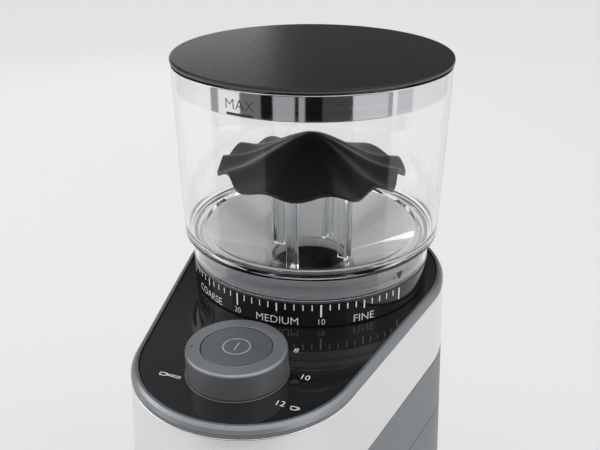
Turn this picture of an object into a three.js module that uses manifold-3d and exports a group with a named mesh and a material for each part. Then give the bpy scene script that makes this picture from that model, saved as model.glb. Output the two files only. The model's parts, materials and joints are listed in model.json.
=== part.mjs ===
// Burr coffee grinder: a clear bean hopper on a grind-size ring, a glossy control deck with one knob,
// a steel head, a grey body with a pull-out grounds bin at the front, and the drive inside.
// Millimetres, +Z up. The front is -Y and the right is +X.
// The origin is on the floor, under the base's middle.

import * as THREE from "three";
import { mergeVertices } from "three/addons/utils/BufferGeometryUtils.js";
import Module from "manifold-3d";

const wasm = await Module();
wasm.setup();

// ---------------------------------------------------------------- driving dimensions

const CLEAR = 0.3;                 // gap between pieces that touch
const HEIGHT = 400;                // floor to the top of the lid
const DECK_Z = 284.4;              // top of the control deck
const FLARE = Math.tan(THREE.MathUtils.degToRad(2.8)); // outward slope of the body's walls

const BACK_R = 66;                 // deck outline: radius of its round back
const NOSE_R = 47.9;               // deck outline: radius of its round front
const BACK_TO_NOSE = 93;           // distance between those two circles' centres
const TRIM_W = 3.6;                // width of the frame round the deck
const TRIM_BOTTOM = 278.2;
const FOOT_H = 5;
const COVER_Z = FOOT_H - 1;        // underside of the bottom cover

const HEAD_BOTTOM = 243;           // seam between the steel head and the grey body
const COLLAR_BOTTOM = 208;         // seam under the grey collar
const PLINTH_TOP = 30;
const WALL = 2.6;                  // plastic wall of the body
const BAY_FLOOR = 44;              // the grounds bin's bay
const BAY_CEILING = 176;
const BAY_FRONT_Y = -14;           // the bay is open in front of this line
const BAY_BACK_Y = 4;

const LID_R = 67.5;
const LID_EDGE = 2.1;              // thickness of the lid's visible edge
const BAND_H = 10.6;               // height of the steel band under the lid
const HOPPER_TOP = HEIGHT - 2.7;
const HOPPER_R = 67.2;             // hopper's outer radius at its top
const HOPPER_TAPER = 0.0246;       // radius lost for each millimetre downwards
const HOPPER_WALL = 2.1;
const SHOULDER_Z = 317.5;          // where the wall turns in to the skirt
const SKIRT_R = 60.9;
const SKIRT_BOTTOM = 298;
const THROAT_R = 18.9;
const THROAT_BOTTOM = 272;
const FLOOR_R = 57.2;              // the sloping floor's outer radius
const FLOOR_Z = 312.4;             // and its height there
const FLOOR_DROP = 15.8;

const POST_R = 20.25;              // the four posts stand on this circle
const POST_W = 6.5;
const CAP_R = 46.5;                // soft cap over the throat
const CAP_RIM_Z = 342;
const CAP_PEAK_Z = 361;

const RING_R = 61.1;               // scale ring
const KNOB_R = 21.8;
const KNOB_TOP = 297;
const BUTTON_R = 15.2;
const KNOB_FROM_HOPPER = 100.5;
const HOPPER_FROM_BACK = 5;        // the hopper's axis is this far in front of the back circle's centre

// places worked out from them
const BACK_Y = (BACK_TO_NOSE + NOSE_R - BACK_R) / 2;
const NOSE_Y = BACK_Y - BACK_TO_NOSE;
const HOPPER_Y = BACK_Y - HOPPER_FROM_BACK;
const KNOB_Y = HOPPER_Y - KNOB_FROM_HOPPER;
const CHUTE_Y = HOPPER_Y - 61;     // middle of the duct where it meets the bin
const PLUNGER_X = 44;              // the bin presses a switch plunger here
const PLUNGER_Z = 150;

// gear train: motor pinion -> idler wheel, idler pinion -> burr wheel
const FAST_MODULE = 1.25;
const SLOW_MODULE = 1.5;
const MOTOR_TEETH = 12;
const IDLER_WHEEL_TEETH = 36;
const IDLER_PINION_TEETH = 12;
const BURR_TEETH = 30;
const MOTOR_Y = HOPPER_Y + 40;     // the motor stands behind the burrs
const FAST_REACH = FAST_MODULE * (MOTOR_TEETH + IDLER_WHEEL_TEETH) / 2;
const SLOW_REACH = SLOW_MODULE * (IDLER_PINION_TEETH + BURR_TEETH) / 2;
const IDLER = idlerPlace();
const SLOW_Z = 200;                // underside of the slow pair
const FAST_Z = 211;                // underside of the fast pair
const GEAR_W = 7;

const ROUND = 36;                  // sides on the widest round pieces
const SHAFT_R = 4;
const MOTOR_R = 27;
const MOTOR_BOTTOM = 82;
const MOTOR_TOP = 182;

function flare(z) {
  return TRIM_W + (TRIM_BOTTOM - z) * FLARE;
}

function idlerPlace() {
  const span = MOTOR_Y - HOPPER_Y;
  const along = (SLOW_REACH ** 2 - FAST_REACH ** 2 + span ** 2) / (2 * span);
  return new THREE.Vector2(Math.sqrt(SLOW_REACH ** 2 - along ** 2), HOPPER_Y + along);
}

// ---------------------------------------------------------------- finishes

const finish = (color, roughness, metalness = 0) =>
  new THREE.MeshStandardMaterial({ color, roughness, metalness });
const SATIN_BLACK = finish(0x2b2e30, 0.4);
const GLOSS_BLACK = finish(0x17191b, 0.08);
const SOFT_BLACK = finish(0x26292b, 0.65);
const CLEAR_PLASTIC = finish(0xdfe4e6, 0.05);
const SMOKED_PLASTIC = finish(0x6d7376, 0.1);
const GREY_PLASTIC = finish(0x7d8285, 0.45);
const DARK_PLASTIC = finish(0x3a3d3f, 0.6);
const NYLON = finish(0xd8d5c8, 0.6);
const GUNMETAL = finish(0x6b6f72, 0.35, 0.8);
const STEEL = finish(0xc9cbcc, 0.3, 1);
const CHROME = finish(0xdcdedf, 0.08, 1);
const RUBBER = finish(0x202224, 0.85);
const COPPER = finish(0xb06a3a, 0.4, 0.9);
const BOARD_GREEN = finish(0x2d5a3c, 0.6);
const BRASS = finish(0xb8974f, 0.35, 0.9);

// ---------------------------------------------------------------- making and joining solids

function toManifold(geometry) {
  geometry.deleteAttribute("normal");
  geometry.deleteAttribute("uv");
  const merged = mergeVertices(geometry, 1e-4);
  const mesh = new wasm.Mesh({
    numProp: 3,
    vertProperties: Float32Array.from(merged.attributes.position.array),
    triVerts: Uint32Array.from(merged.index.array),
  });
  return new wasm.Manifold(mesh);
}

function toGeometry(solid) {
  const mesh = solid.getMesh();
  const geometry = new THREE.BufferGeometry();
  geometry.setAttribute("position", new THREE.BufferAttribute(mesh.vertProperties, 3));
  geometry.setIndex(new THREE.BufferAttribute(mesh.triVerts, 1));
  geometry.computeVertexNormals();
  return geometry;
}

// A round piece: the profile is a closed list of [radius, height], anticlockwise with radius to the right.
function turned(profile, x = 0, y = 0, sides = 24) {
  const points = [...profile, profile[0]].map(([r, z]) => new THREE.Vector2(r, z));
  const geometry = new THREE.LatheGeometry(points, sides);
  geometry.rotateX(Math.PI / 2);
  geometry.translate(x, y, 0);
  return toManifold(geometry);
}

const disc = (r, z0, z1, x = 0, y = 0, sides = 24) => {
  const geometry = new THREE.CylinderGeometry(r, r, z1 - z0, sides);
  geometry.rotateX(Math.PI / 2);
  geometry.translate(x, y, (z0 + z1) / 2);
  return toManifold(geometry);
};

// A disc whose axis lies along Y.
const lyingDisc = (r, y0, y1, x, z, sides = 16) =>
  disc(r, 0, y1 - y0, 0, 0, sides).rotate([-90, 0, 0]).translate([x, y0, z]);

const tube = (rIn, rOut, z0, z1, x = 0, y = 0, sides = 24) =>
  turned([[rIn, z0], [rOut, z0], [rOut, z1], [rIn, z1]], x, y, sides);

const block = (x0, x1, y0, y1, z0, z1) => {
  const geometry = new THREE.BoxGeometry(x1 - x0, y1 - y0, z1 - z0);
  geometry.translate((x0 + x1) / 2, (y0 + y1) / 2, (z0 + z1) / 2);
  return toManifold(geometry);
};

function prism(points, z0, z1, x = 0, y = 0) {
  const settings = { depth: z1 - z0, bevelEnabled: false };
  const geometry = new THREE.ExtrudeGeometry(new THREE.Shape(points), settings);
  geometry.translate(x, y, z0);
  return toManifold(geometry);
}

// Joins rings of equal point counts into one surface. Open stacks get flat fans at both ends.
function skin(loops, closed) {
  const count = loops[0].length;
  const positions = loops.flat().flatMap((p) => [p.x, p.y, p.z]);
  const index = [];
  const bands = closed ? loops.length : loops.length - 1;
  for (let band = 0; band < bands; band++) {
    const low = band * count;
    const high = ((band + 1) % loops.length) * count;
    for (let i = 0; i < count; i++) {
      const next = (i + 1) % count;
      index.push(low + i, low + next, high + next, low + i, high + next, high + i);
    }
  }
  if (!closed) {
    const top = (loops.length - 1) * count;
    for (let i = 1; i < count - 1; i++) {
      index.push(0, i + 1, i, top, top + i, top + i + 1);
    }
  }
  const geometry = new THREE.BufferGeometry();
  geometry.setAttribute("position", new THREE.BufferAttribute(new Float32Array(positions), 3));
  geometry.setIndex(index);
  return toManifold(geometry);
}

// The body's outline is a belt round two circles, a wide one at the back and a narrow one at the nose.
function outline(offset, z) {
  const lean = Math.asin((BACK_R - NOSE_R) / BACK_TO_NOSE);
  const arc = (y, r, from, to, steps) => Array.from({ length: steps + 1 }, (_, i) => {
    const angle = from + (to - from) * i / steps;
    return new THREE.Vector3(r * Math.cos(angle), y + r * Math.sin(angle), z);
  });
  return [
    ...arc(BACK_Y, BACK_R + offset, -lean, Math.PI + lean, 17),
    ...arc(NOSE_Y, NOSE_R + offset, Math.PI + lean, 2 * Math.PI - lean, 13),
  ];
}

const beltRing = (profile) => skin(profile.map(([offset, z]) => outline(offset, z)), true);
const beltBlock = (levels) => skin(levels.map(([offset, z]) => outline(offset, z)), false);

const group = new THREE.Group();

function part(name, solid, material) {
  const mesh = new THREE.Mesh(toGeometry(solid), material);
  mesh.name = name;
  group.add(mesh);
}

// ---------------------------------------------------------------- hopper and lid

function hopperLid() {
  const edge = HEIGHT - LID_EDGE;
  const rim = edge - BAND_H + 0.4;
  return turned([
    [0, edge], [61.8, edge], [61.8, rim], [63.6, rim], [63.6, edge], [LID_R - 0.6, edge],
    [LID_R, edge + 0.6], [LID_R, HEIGHT - 0.9], [LID_R - 1.2, HEIGHT], [0, HEIGHT],
  ], 0, HOPPER_Y, ROUND);
}

const lidBand = () =>
  tube(63.9, 64.7, HEIGHT - LID_EDGE - BAND_H, HEIGHT - LID_EDGE - CLEAR, 0, HOPPER_Y, ROUND);

function hopperBowl() {
  const wallAt = (z) => HOPPER_R - (HOPPER_TOP - z) * HOPPER_TAPER;
  return turned([
    [wallAt(HOPPER_TOP) - HOPPER_WALL, HOPPER_TOP],
    [wallAt(SHOULDER_Z + 2) - HOPPER_WALL, SHOULDER_Z + 2],
    [61.3, 314.6], [FLOOR_R, FLOOR_Z],
    [THROAT_R, FLOOR_Z - FLOOR_DROP], [THROAT_R, THROAT_BOTTOM],
    [THROAT_R + 2.3, THROAT_BOTTOM], [THROAT_R + 2.3, FLOOR_Z - FLOOR_DROP - 1.8],
    [FLOOR_R, FLOOR_Z - 2.8], [SKIRT_R - 1.8, FLOOR_Z - 3],
    [SKIRT_R - 1.8, SKIRT_BOTTOM], [SKIRT_R, SKIRT_BOTTOM], [SKIRT_R, 310.4],
    [64.2, 313], [wallAt(SHOULDER_Z), SHOULDER_Z], [HOPPER_R, HOPPER_TOP],
  ], 0, HOPPER_Y, ROUND);
}

// Four posts between a ring round the throat and a ring under the soft cap.
function beanGuardPosts() {
  const bottom = 298.6;
  const top = 350.4;
  let guard = tube(POST_R - 1, POST_R + 2, bottom, bottom + 3, 0, HOPPER_Y);
  guard = guard.add(tube(POST_R - 3, POST_R + 2, top - 3, top, 0, HOPPER_Y));
  for (let i = 0; i < 4; i++) {
    const post = block(-POST_W / 2, POST_W / 2, POST_R - 1, POST_R + 2, bottom + 1, top - 1);
    guard = guard.add(post.rotate([0, 0, 172 + i * 90]).translate([0, HOPPER_Y, 0]));
  }
  return guard;
}

function beanGuardCap() {
  const thick = 1.8;
  const drop = CAP_PEAK_Z - CAP_RIM_Z;
  const upper = [0, 0.15, 0.5, 1].map((t) => [t * CAP_R, CAP_PEAK_Z - drop * t ** 1.25]);
  const lower = upper.map(([r, z]) => [r, z - thick]);
  return turned([...lower, ...upper.reverse()], 0, HOPPER_Y, 32);
}

// ---------------------------------------------------------------- grind-size ring and burrs

function scaleRing() {
  const top = SKIRT_BOTTOM - CLEAR;
  const bottom = DECK_Z + CLEAR;
  return turned([
    [50, bottom], [RING_R, bottom], [RING_R, top - 0.3], [RING_R - 0.3, top], [57.5, top],
    [57.5, top - 3], [50, top - 3],
  ], 0, HOPPER_Y, ROUND);
}

// Turns with the hopper: its skirt screws up and down in the chamber and carries the ring burr.
function grindAdjuster() {
  return turned([
    [THROAT_R + 2.7, 262.3], [33.3, 262.3], [33.3, 250], [36.6, 250], [36.6, 266.4], [43.4, 266.4],
    [43.4, 287], [38, 287], [38, 271], [THROAT_R + 2.7, 271],
  ], 0, HOPPER_Y, 28);
}

// A toothed ring whose inner wall is a saw-edged star.
function ringBurr() {
  const teeth = 24;
  const star = [];
  for (let i = 0; i < teeth; i++) {
    const angle = (i / teeth) * 2 * Math.PI;
    const next = ((i + 0.75) / teeth) * 2 * Math.PI;
    star.push(new THREE.Vector2(23.6 * Math.cos(angle), 23.6 * Math.sin(angle)));
    star.push(new THREE.Vector2(21.6 * Math.cos(next), 21.6 * Math.sin(next)));
  }
  return disc(33, 250.5, 262, 0, HOPPER_Y).subtract(prism(star, 249, 263, 0, HOPPER_Y));
}

// A fluted cone: each level is a star, turned a little from the one below.
function coneBurr() {
  const teeth = 18;
  const levels = [[245, 20.4, 1.4], [252, 18.6, 2], [260, 14, 2.6], [266, 9.4, 1.4]];
  const loops = levels.map(([z, radius, depth], level) => {
    const loop = [];
    for (let i = 0; i < teeth; i++) {
      for (const [step, cut] of [[0, 0], [0.75, depth]]) {
        const angle = ((i + step) / teeth) * 2 * Math.PI + level * 0.16;
        loop.push(new THREE.Vector3((radius - cut) * Math.cos(angle), (radius - cut) * Math.sin(angle), z));
      }
    }
    return loop;
  });
  const bore = disc(SHAFT_R + CLEAR, 240, 270, 0, HOPPER_Y, 24);
  return skin(loops, false).translate([0, HOPPER_Y, 0]).subtract(bore);
}

const burrNut = () => disc(7, 266.3, 270, 0, HOPPER_Y, 6)
  .subtract(disc(SHAFT_R + CLEAR, 265, 272, 0, HOPPER_Y, 24));

function grindingChamber() {
  const cup = turned([
    [9.4, 228], [40.6, 228], [40.6, 264.5], [37, 264.5], [37, 231], [9.4, 231],
  ], 0, HOPPER_Y, 28);
  return cup.subtract(block(-11, 11, HOPPER_Y - 45, HOPPER_Y - 20, 232, 246));
}

// The disc under the cone burr, with four vanes that push the grounds to the outlet.
function sweeper() {
  const bore = SHAFT_R + CLEAR;
  let wheel = turned([
    [bore, 232], [35, 232], [35, 234], [9, 234.5], [9, 244.5], [bore, 244.5],
  ], 0, HOPPER_Y, 32);
  for (let i = 0; i < 4; i++) {
    const vane = block(8, 35, -1, 1, 233, 243).rotate([0, 0, 45 + i * 90]);
    wheel = wheel.add(vane.translate([0, HOPPER_Y, 0]));
  }
  return wheel;
}

// A slanted duct from the chamber's outlet down to the bay's ceiling.
function groundsChute() {
  const lift = (x, y, z) => new THREE.Vector3(x, y, z);
  const section = (half, yFront, yBack, zFront, zBack) => [
    lift(-half, yFront, zFront), lift(half, yFront, zFront),
    lift(half, yBack, zBack), lift(-half, yBack, zBack),
  ];
  const mouth = HOPPER_Y - 41;
  const outer = skin([
    section(13, mouth - 33, mouth - 7, 172.5, 172.5),
    section(13, mouth - 33, mouth - 7, 200, 200),
    section(13, mouth - 20, mouth, 249, 229.5),
    section(13, mouth - 1, mouth - 0.5, 249, 229.5),
  ], false);
  const inner = skin([
    section(10.5, mouth - 30.5, mouth - 9.5, 170, 170),
    section(10.5, mouth - 30.5, mouth - 9.5, 199, 199),
    section(10.5, mouth - 17.5, mouth - 1, 246.5, 232),
    section(10.5, mouth + 2, mouth + 2, 246.5, 232),
  ], false);
  return outer.subtract(inner);
}

// ---------------------------------------------------------------- gears, shafts and motor

// Straight-sided teeth, thinner than the gaps they run in. Tooth 0 points along +X.
function gear(teeth, module, z0, z1) {
  const pitch = (2 * Math.PI) / teeth;
  const root = module * (teeth / 2 - 1.2);
  const tip = module * (teeth / 2 + 0.85);
  const rim = [];
  for (let i = 0; i < teeth; i++) {
    for (const [radius, side] of [[root, -0.33], [tip, -0.11], [tip, 0.11], [root, 0.33]]) {
      const angle = (i + side) * pitch;
      rim.push(new THREE.Vector2(radius * Math.cos(angle), radius * Math.sin(angle)));
    }
  }
  return prism(rim, z0, z1);
}

// Turns a gear so that a tooth (or, with half = 0.5, a gap) points along the given direction.
function aimed(solid, teeth, direction, half = 0) {
  const degrees = THREE.MathUtils.radToDeg(direction) + half * 360 / teeth;
  return solid.rotate([0, 0, degrees]);
}

const towardsBurr = Math.atan2(HOPPER_Y - IDLER.y, -IDLER.x);
const towardsMotor = Math.atan2(MOTOR_Y - IDLER.y, -IDLER.x);

function idlerGear() {
  const big = gear(IDLER_WHEEL_TEETH, FAST_MODULE, FAST_Z, FAST_Z + GEAR_W - 1);
  const small = gear(IDLER_PINION_TEETH, SLOW_MODULE, SLOW_Z, FAST_Z + 0.5);
  const wheel = aimed(big, IDLER_WHEEL_TEETH, towardsMotor);
  const pinion = aimed(small, IDLER_PINION_TEETH, towardsBurr);
  const solid = wheel.add(pinion).subtract(disc(2 + 0.05, SLOW_Z - 1, FAST_Z + GEAR_W, 0, 0, 16));
  return solid.translate([IDLER.x, IDLER.y, 0]);
}

function burrWheel() {
  const wheel = aimed(gear(BURR_TEETH, SLOW_MODULE, SLOW_Z + 0.5, SLOW_Z + GEAR_W + 0.5), BURR_TEETH,
    towardsBurr + Math.PI, 0.5);
  const bore = disc(SHAFT_R + CLEAR, SLOW_Z - 1, SLOW_Z + GEAR_W + 2, 0, 0, 24);
  return wheel.subtract(bore).translate([0, HOPPER_Y, 0]);
}

function motorPinion() {
  const wheel = aimed(gear(MOTOR_TEETH, FAST_MODULE, FAST_Z - 1, FAST_Z + GEAR_W), MOTOR_TEETH,
    towardsMotor + Math.PI, 0.5);
  const bore = disc(2.5 + CLEAR, FAST_Z - 2, FAST_Z + GEAR_W + 1, 0, 0, 16);
  return wheel.subtract(bore).translate([0, MOTOR_Y, 0]);
}

// The gearbox follows its three axles: a belt of cylinders joined by straight webs.
function gearboxPlan(extra, z0, z1) {
  const places = [[0, HOPPER_Y, 30], [IDLER.x, IDLER.y, 28], [0, MOTOR_Y, 20], [-14, HOPPER_Y + 24, 18]];
  return places
    .map(([x, y, r]) => disc(r + extra, z0, z1, x, y, 18))
    .reduce((sum, piece) => sum.add(piece));
}

function gearboxHousing() {
  return gearboxPlan(2.4, 196, 224)
    .subtract(gearboxPlan(0, 190, 221.5))
    .subtract(disc(SHAFT_R + 1, 220, 226, 0, HOPPER_Y, 24));
}

function gearboxCover() {
  return gearboxPlan(2.4, 190.2, 195.7)
    .subtract(disc(9.3, 189, 197, 0, HOPPER_Y, 32))
    .subtract(disc(2.3, 193, 197, IDLER.x, IDLER.y, 16))
    .subtract(disc(4, 189, 197, 0, MOTOR_Y, 24));
}

const bearing = (z0, z1) => tube(SHAFT_R + 0.3, 9, z0, z1, 0, HOPPER_Y);

function motorCan() {
  return turned([
    [6, MOTOR_TOP - 2.5], [MOTOR_R - 2.2, MOTOR_TOP - 2.5], [MOTOR_R - 2.2, MOTOR_BOTTOM],
    [MOTOR_R, MOTOR_BOTTOM], [MOTOR_R, MOTOR_TOP - 2], [MOTOR_R - 2, MOTOR_TOP], [6, MOTOR_TOP],
  ], 0, MOTOR_Y);
}

function motorEndBell() {
  const top = MOTOR_BOTTOM - CLEAR;
  const bell = turned([
    [3, top - 9], [12, top - 9], [15, top - 4], [MOTOR_R, top - 4], [MOTOR_R, top], [3, top],
  ], 0, MOTOR_Y);
  return bell
    .subtract(block(-4, 4, MOTOR_Y + 17, MOTOR_Y + 24, top - 6, top + 1))
    .subtract(block(-4, 4, MOTOR_Y - 24, MOTOR_Y - 17, top - 6, top + 1));
}

// Slotted armature, commutator and shaft, all one turning piece.
function motorArmature() {
  const poles = 10;
  let armature = disc(17, 100, 160);
  for (let i = 0; i < poles; i++) {
    armature = armature.subtract(block(11, 18, -1.2, 1.2, 99, 161).rotate([0, 0, i * 360 / poles]));
  }
  return armature
    .add(disc(8, 88, 98, 0, 0, 24))
    .add(disc(2.5, 74, FAST_Z + GEAR_W + 2, 0, 0, 20))
    .translate([0, MOTOR_Y, 0]);
}

function motorMagnet(side) {
  const ring = tube(18.4, MOTOR_R - 2.6, 98, 162, 0, MOTOR_Y);
  const front = MOTOR_Y + Math.min(0, side * 40);
  const back = MOTOR_Y + Math.max(0, side * 40);
  return ring.intersect(block(-16, 16, front, back, 90, 170));
}

// ---------------------------------------------------------------- deck and knob

function deckPlate() {
  return beltBlock([[-CLEAR, DECK_Z - 3], [-CLEAR, DECK_Z]])
    .subtract(disc(44, DECK_Z - 5, DECK_Z + 5, 0, HOPPER_Y))
    .subtract(disc(7.8, DECK_Z - 5, DECK_Z + 5, 0, KNOB_Y, 24));
}

// Frame round the deck: a thin top land, a bevel and an upright face, with a ledge under the deck plate.
function deckTrim() {
  return beltRing([
    [-4, 279.4], [0, 278.2], [TRIM_W, TRIM_BOTTOM], [TRIM_W, 281.8], [TRIM_W - 0.8, 283.5],
    [1.5, DECK_Z + 0.6], [0.1, DECK_Z + 0.6], [0, DECK_Z - 3.4], [-4, DECK_Z - 3.4],
  ]);
}

function knobRing() {
  return turned([
    [7.4, 285], [KNOB_R - 0.6, 285], [KNOB_R, 285.6],
    [KNOB_R, KNOB_TOP - 1.4], [KNOB_R - 0.4, KNOB_TOP - 0.5],
    [KNOB_R - 1.4, KNOB_TOP], [BUTTON_R + CLEAR, KNOB_TOP], [BUTTON_R + CLEAR, 288], [7.4, 288],
  ], 0, KNOB_Y, 28);
}

const knobHub = () => turned([
  [5, 268], [7, 268], [7, 288.4], [9, 288.4], [9, 289.4], [5, 289.4],
], 0, KNOB_Y, 20);

const startButton = () => turned([
  [0, 264.2], [3.4, 264.2], [3.4, 272], [4.4, 274], [4.4, 293.4], [BUTTON_R, 293.4], [BUTTON_R, 296.4],
  [BUTTON_R - 0.4, 296.8], [0, 296.8],
], 0, KNOB_Y, 24);

// A coil between the knob's floor and the button's cap.
function buttonSpring() {
  const turns = 2.5;
  const radius = 12;
  const wire = 0.45;
  class Coil extends THREE.Curve {
    getPoint(t) {
      const angle = t * turns * 2 * Math.PI;
      return new THREE.Vector3(radius * Math.cos(angle), radius * Math.sin(angle), 288.9 + t * 3.9);
    }
  }
  const section = Array.from({ length: 5 }, (_, i) =>
    new THREE.Vector2(wire * Math.cos(i * Math.PI * 0.4), wire * Math.sin(i * Math.PI * 0.4)));
  const settings = { extrudePath: new Coil(), steps: 30 };
  const geometry = new THREE.ExtrudeGeometry(new THREE.Shape(section), settings);
  geometry.translate(0, KNOB_Y, 0);
  return toManifold(geometry);
}

const knobEncoder = () => block(-10, 10, KNOB_Y - 10, KNOB_Y + 10, 259.1, 267.6)
  .subtract(disc(5.4, 255, 270, 0, KNOB_Y, 24));

// Board with a ribbon socket and two driver chips, under the deck.
const controlBoard = () => block(-30, 30, KNOB_Y - 26, KNOB_Y + 30, 257.2, 258.8)
  .add(block(-9, 9, KNOB_Y + 20, KNOB_Y + 28, 258, 262))
  .add(block(-24, -14, KNOB_Y + 2, KNOB_Y + 12, 258, 260.5))
  .add(block(14, 24, KNOB_Y + 2, KNOB_Y + 12, 258, 260.5));

// ---------------------------------------------------------------- body, base and bin

// A wall that follows the flare between two heights, as a closed ring.
function wallRing(z0, z1, inset, thickness) {
  return beltRing([
    [flare(z0) - inset - thickness, z0], [flare(z0) - inset, z0],
    [flare(z1) - inset, z1], [flare(z1) - inset - thickness, z1],
  ]);
}

const solidBody = (z0, z1, inset = 0) => beltBlock([[flare(z0) - inset, z0], [flare(z1) - inset, z1]]);

function collar() {
  const ledge = wallRing(220, 223.7, 0.5, 8);
  return wallRing(COLLAR_BOTTOM, HEAD_BOTTOM - 0.6, 0, WALL).add(ledge);
}

// The big shell: walls all round above and below the bay, and a liner behind, over and under it.
function mainHousing() {
  const z0 = PLINTH_TOP + 0.6;
  const z1 = COLLAR_BOTTOM - 0.6;
  const liner = block(-80, 80, -130, BAY_BACK_Y + WALL, BAY_FLOOR - WALL, BAY_CEILING + WALL)
    .intersect(solidBody(z0, z1, 0.5));
  const bay = block(-90, 90, -140, BAY_FRONT_Y, BAY_FLOOR, BAY_CEILING);
  const rear = block(-52, 52, -60, BAY_BACK_Y, BAY_FLOOR, BAY_CEILING);
  return wallRing(z0, z1, 0, WALL)
    .add(liner)
    .subtract(bay)
    .subtract(rear)
    .subtract(block(-14, 14, CHUTE_Y - 14.5, CHUTE_Y + 14.5, BAY_CEILING - 2, BAY_CEILING + 6))
    .subtract(lyingDisc(2.6, BAY_BACK_Y - 3, BAY_BACK_Y + 6, PLUNGER_X, PLUNGER_Z))
    .subtract(block(-9, 9, 100, 140, 48, 66));
}

const chassisPlate = () => beltBlock([[flare(226) - 3, 224.3], [flare(226) - 3, 227.6]])
  .subtract(disc(9.4, 220, 230, 0, HOPPER_Y, 32))
  .subtract(block(-14, 14, HOPPER_Y - 68, HOPPER_Y - 40.5, 220, 230));

const footPlaces = [-1, 1].flatMap((side) => [[side * 52, BACK_Y + 32], [side * 38, NOSE_Y - 22]]);
const screwPlaces = [-1, 1].flatMap((side) => [[side * 34, BACK_Y + 52], [side * 54, NOSE_Y + 18]]);

function plinth() {
  const top = PLINTH_TOP;
  const floor = COVER_Z + 3.3;
  let ring = beltRing([
    [flare(floor) - WALL, floor], [flare(floor) - 1, floor], [flare(floor + 2), floor + 2],
    [flare(top), top], [flare(top) - WALL, top],
  ]).add(wallRing(floor, floor + 2.5, WALL - 1, 12));
  for (const [x, y] of screwPlaces) {
    ring = ring.subtract(disc(2.2, floor - 1, floor + 4, x, y, 12));
  }
  return ring;
}

function bottomCover() {
  let plate = beltBlock([[flare(COVER_Z) - 3, COVER_Z], [flare(COVER_Z) - 3, COVER_Z + 3]]);
  for (const [x, y] of footPlaces) {
    plate = plate.subtract(disc(8.8, COVER_Z - 1, COVER_Z + 1.6, x, y, 12));
  }
  for (const [x, y] of screwPlaces) {
    plate = plate.subtract(disc(3.7, COVER_Z - 1, COVER_Z + 1.5, x, y, 12));
    plate = plate.subtract(disc(2.2, COVER_Z - 1, COVER_Z + 4, x, y, 12));
  }
  for (let i = -2; i <= 2; i++) {
    const slot = block(-1.8, 1.8, MOTOR_Y - 18, MOTOR_Y + 18, COVER_Z - 1, COVER_Z + 4);
    plate = plate.subtract(slot.translate([i * 10, 0, 0]));
  }
  return plate;
}

const foot = (x, y) => turned([
  [0, 0], [7.6, 0], [8.4, 0.8], [8.4, COVER_Z + 1.3], [0, COVER_Z + 1.3],
], x, y, 16);

const coverScrew = (x, y) => turned([
  [0, COVER_Z + 0.2], [3.4, COVER_Z + 0.2], [3.4, COVER_Z + 1.2], [1.9, COVER_Z + 1.2],
  [1.9, COVER_Z + 12], [0, COVER_Z + 13],
], x, y, 12).subtract(block(x - 2.4, x + 2.4, y - 0.4, y + 0.4, COVER_Z, COVER_Z + 0.8));

// Flush inlet in the back wall, where the mains lead comes in.
function cordInlet() {
  const surface = BACK_Y + BACK_R + flare(57);
  return block(-8.7, 8.7, surface - 16, surface - 0.8, 48.3, 65.7)
    .subtract(lyingDisc(3.6, surface - 30, surface + 10, 0, 57, 20));
}

// The bin fills the bay, and its front is the body's own curve there.
function groundsBin() {
  const z0 = BAY_FLOOR + 0.6;
  const z1 = 166;
  const wall = 2.4;
  const front = block(-90, 90, -140, BAY_FRONT_Y - 0.5, z0, z1).intersect(solidBody(z0, z1, 0.2));
  const rear = block(-51, 51, -60, BAY_BACK_Y - 0.8, z0, z1);
  const hollowFront = block(-90, 90, -140, BAY_FRONT_Y - wall, z0 + wall, z1 + 10)
    .intersect(solidBody(z0, z1 + 10, 0.2 + wall));
  const hollowRear = block(-51 + wall, 51 - wall, -60, BAY_BACK_Y - 0.8 - wall, z0 + wall, z1 + 10);
  return front.add(rear).subtract(hollowFront).subtract(hollowRear);
}

// The lid is flat, with a square hole under the duct and a raised rim that closes the gap at the front.
function binLid() {
  const z0 = 166.3;
  const z1 = 172.2;
  const rimTop = BAY_CEILING - 0.6;
  const front = block(-90, 90, -140, BAY_FRONT_Y - 0.5, z0, rimTop);
  const slab = front.intersect(solidBody(z0, z1, 0.2));
  const rim = front.intersect(wallRing(z0 + 1, rimTop, 0.2, 3));
  const rear = block(-51, 51, -60, BAY_BACK_Y - 0.8, z0, z1);
  return slab.add(rim).add(rear)
    .subtract(block(-17, 17, CHUTE_Y - 17, CHUTE_Y + 17, z0 - 1, z1 + 1));
}

// A soft frame that closes the gap between the duct and the bin's lid.
function chuteSeal() {
  return block(-16.4, 16.4, CHUTE_Y - 16.4, CHUTE_Y + 16.4, 172.6, 175.6)
    .subtract(block(-13.4, 13.4, CHUTE_Y - 13.5, CHUTE_Y + 13.5, 170, 177));
}

// Mains board standing behind the bay, with its transformer, capacitor and relay.
const powerBoard = () => block(-34, 34, 12, 13.6, 72, 160)
  .add(block(-24, -4, 13, 27, 82, 104))
  .add(lyingDisc(7, 13, 29, 12, 98, 20))
  .add(block(-20, 0, 13, 22, 130, 148))
  .add(block(10, 26, 13, 24, 128, 146));

const bayPlunger = () => lyingDisc(2.2, BAY_BACK_Y - 0.5, BAY_BACK_Y + 8, PLUNGER_X, PLUNGER_Z);

const baySwitch = () => block(
  PLUNGER_X - 6, PLUNGER_X + 6, BAY_BACK_Y + 10, BAY_BACK_Y + 18, PLUNGER_Z - 6, PLUNGER_Z + 6,
);

// ---------------------------------------------------------------- assembly

part("hopper_lid", hopperLid(), SATIN_BLACK);
part("lid_steel_band", lidBand(), CHROME);
part("lid_seal", tube(62, 64.2, 385.4, 387, 0, HOPPER_Y, ROUND), RUBBER);
part("hopper_bowl", hopperBowl(), CLEAR_PLASTIC);
part("bean_guard_posts", beanGuardPosts(), CLEAR_PLASTIC);
part("bean_guard_cap", beanGuardCap(), SOFT_BLACK);

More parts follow.
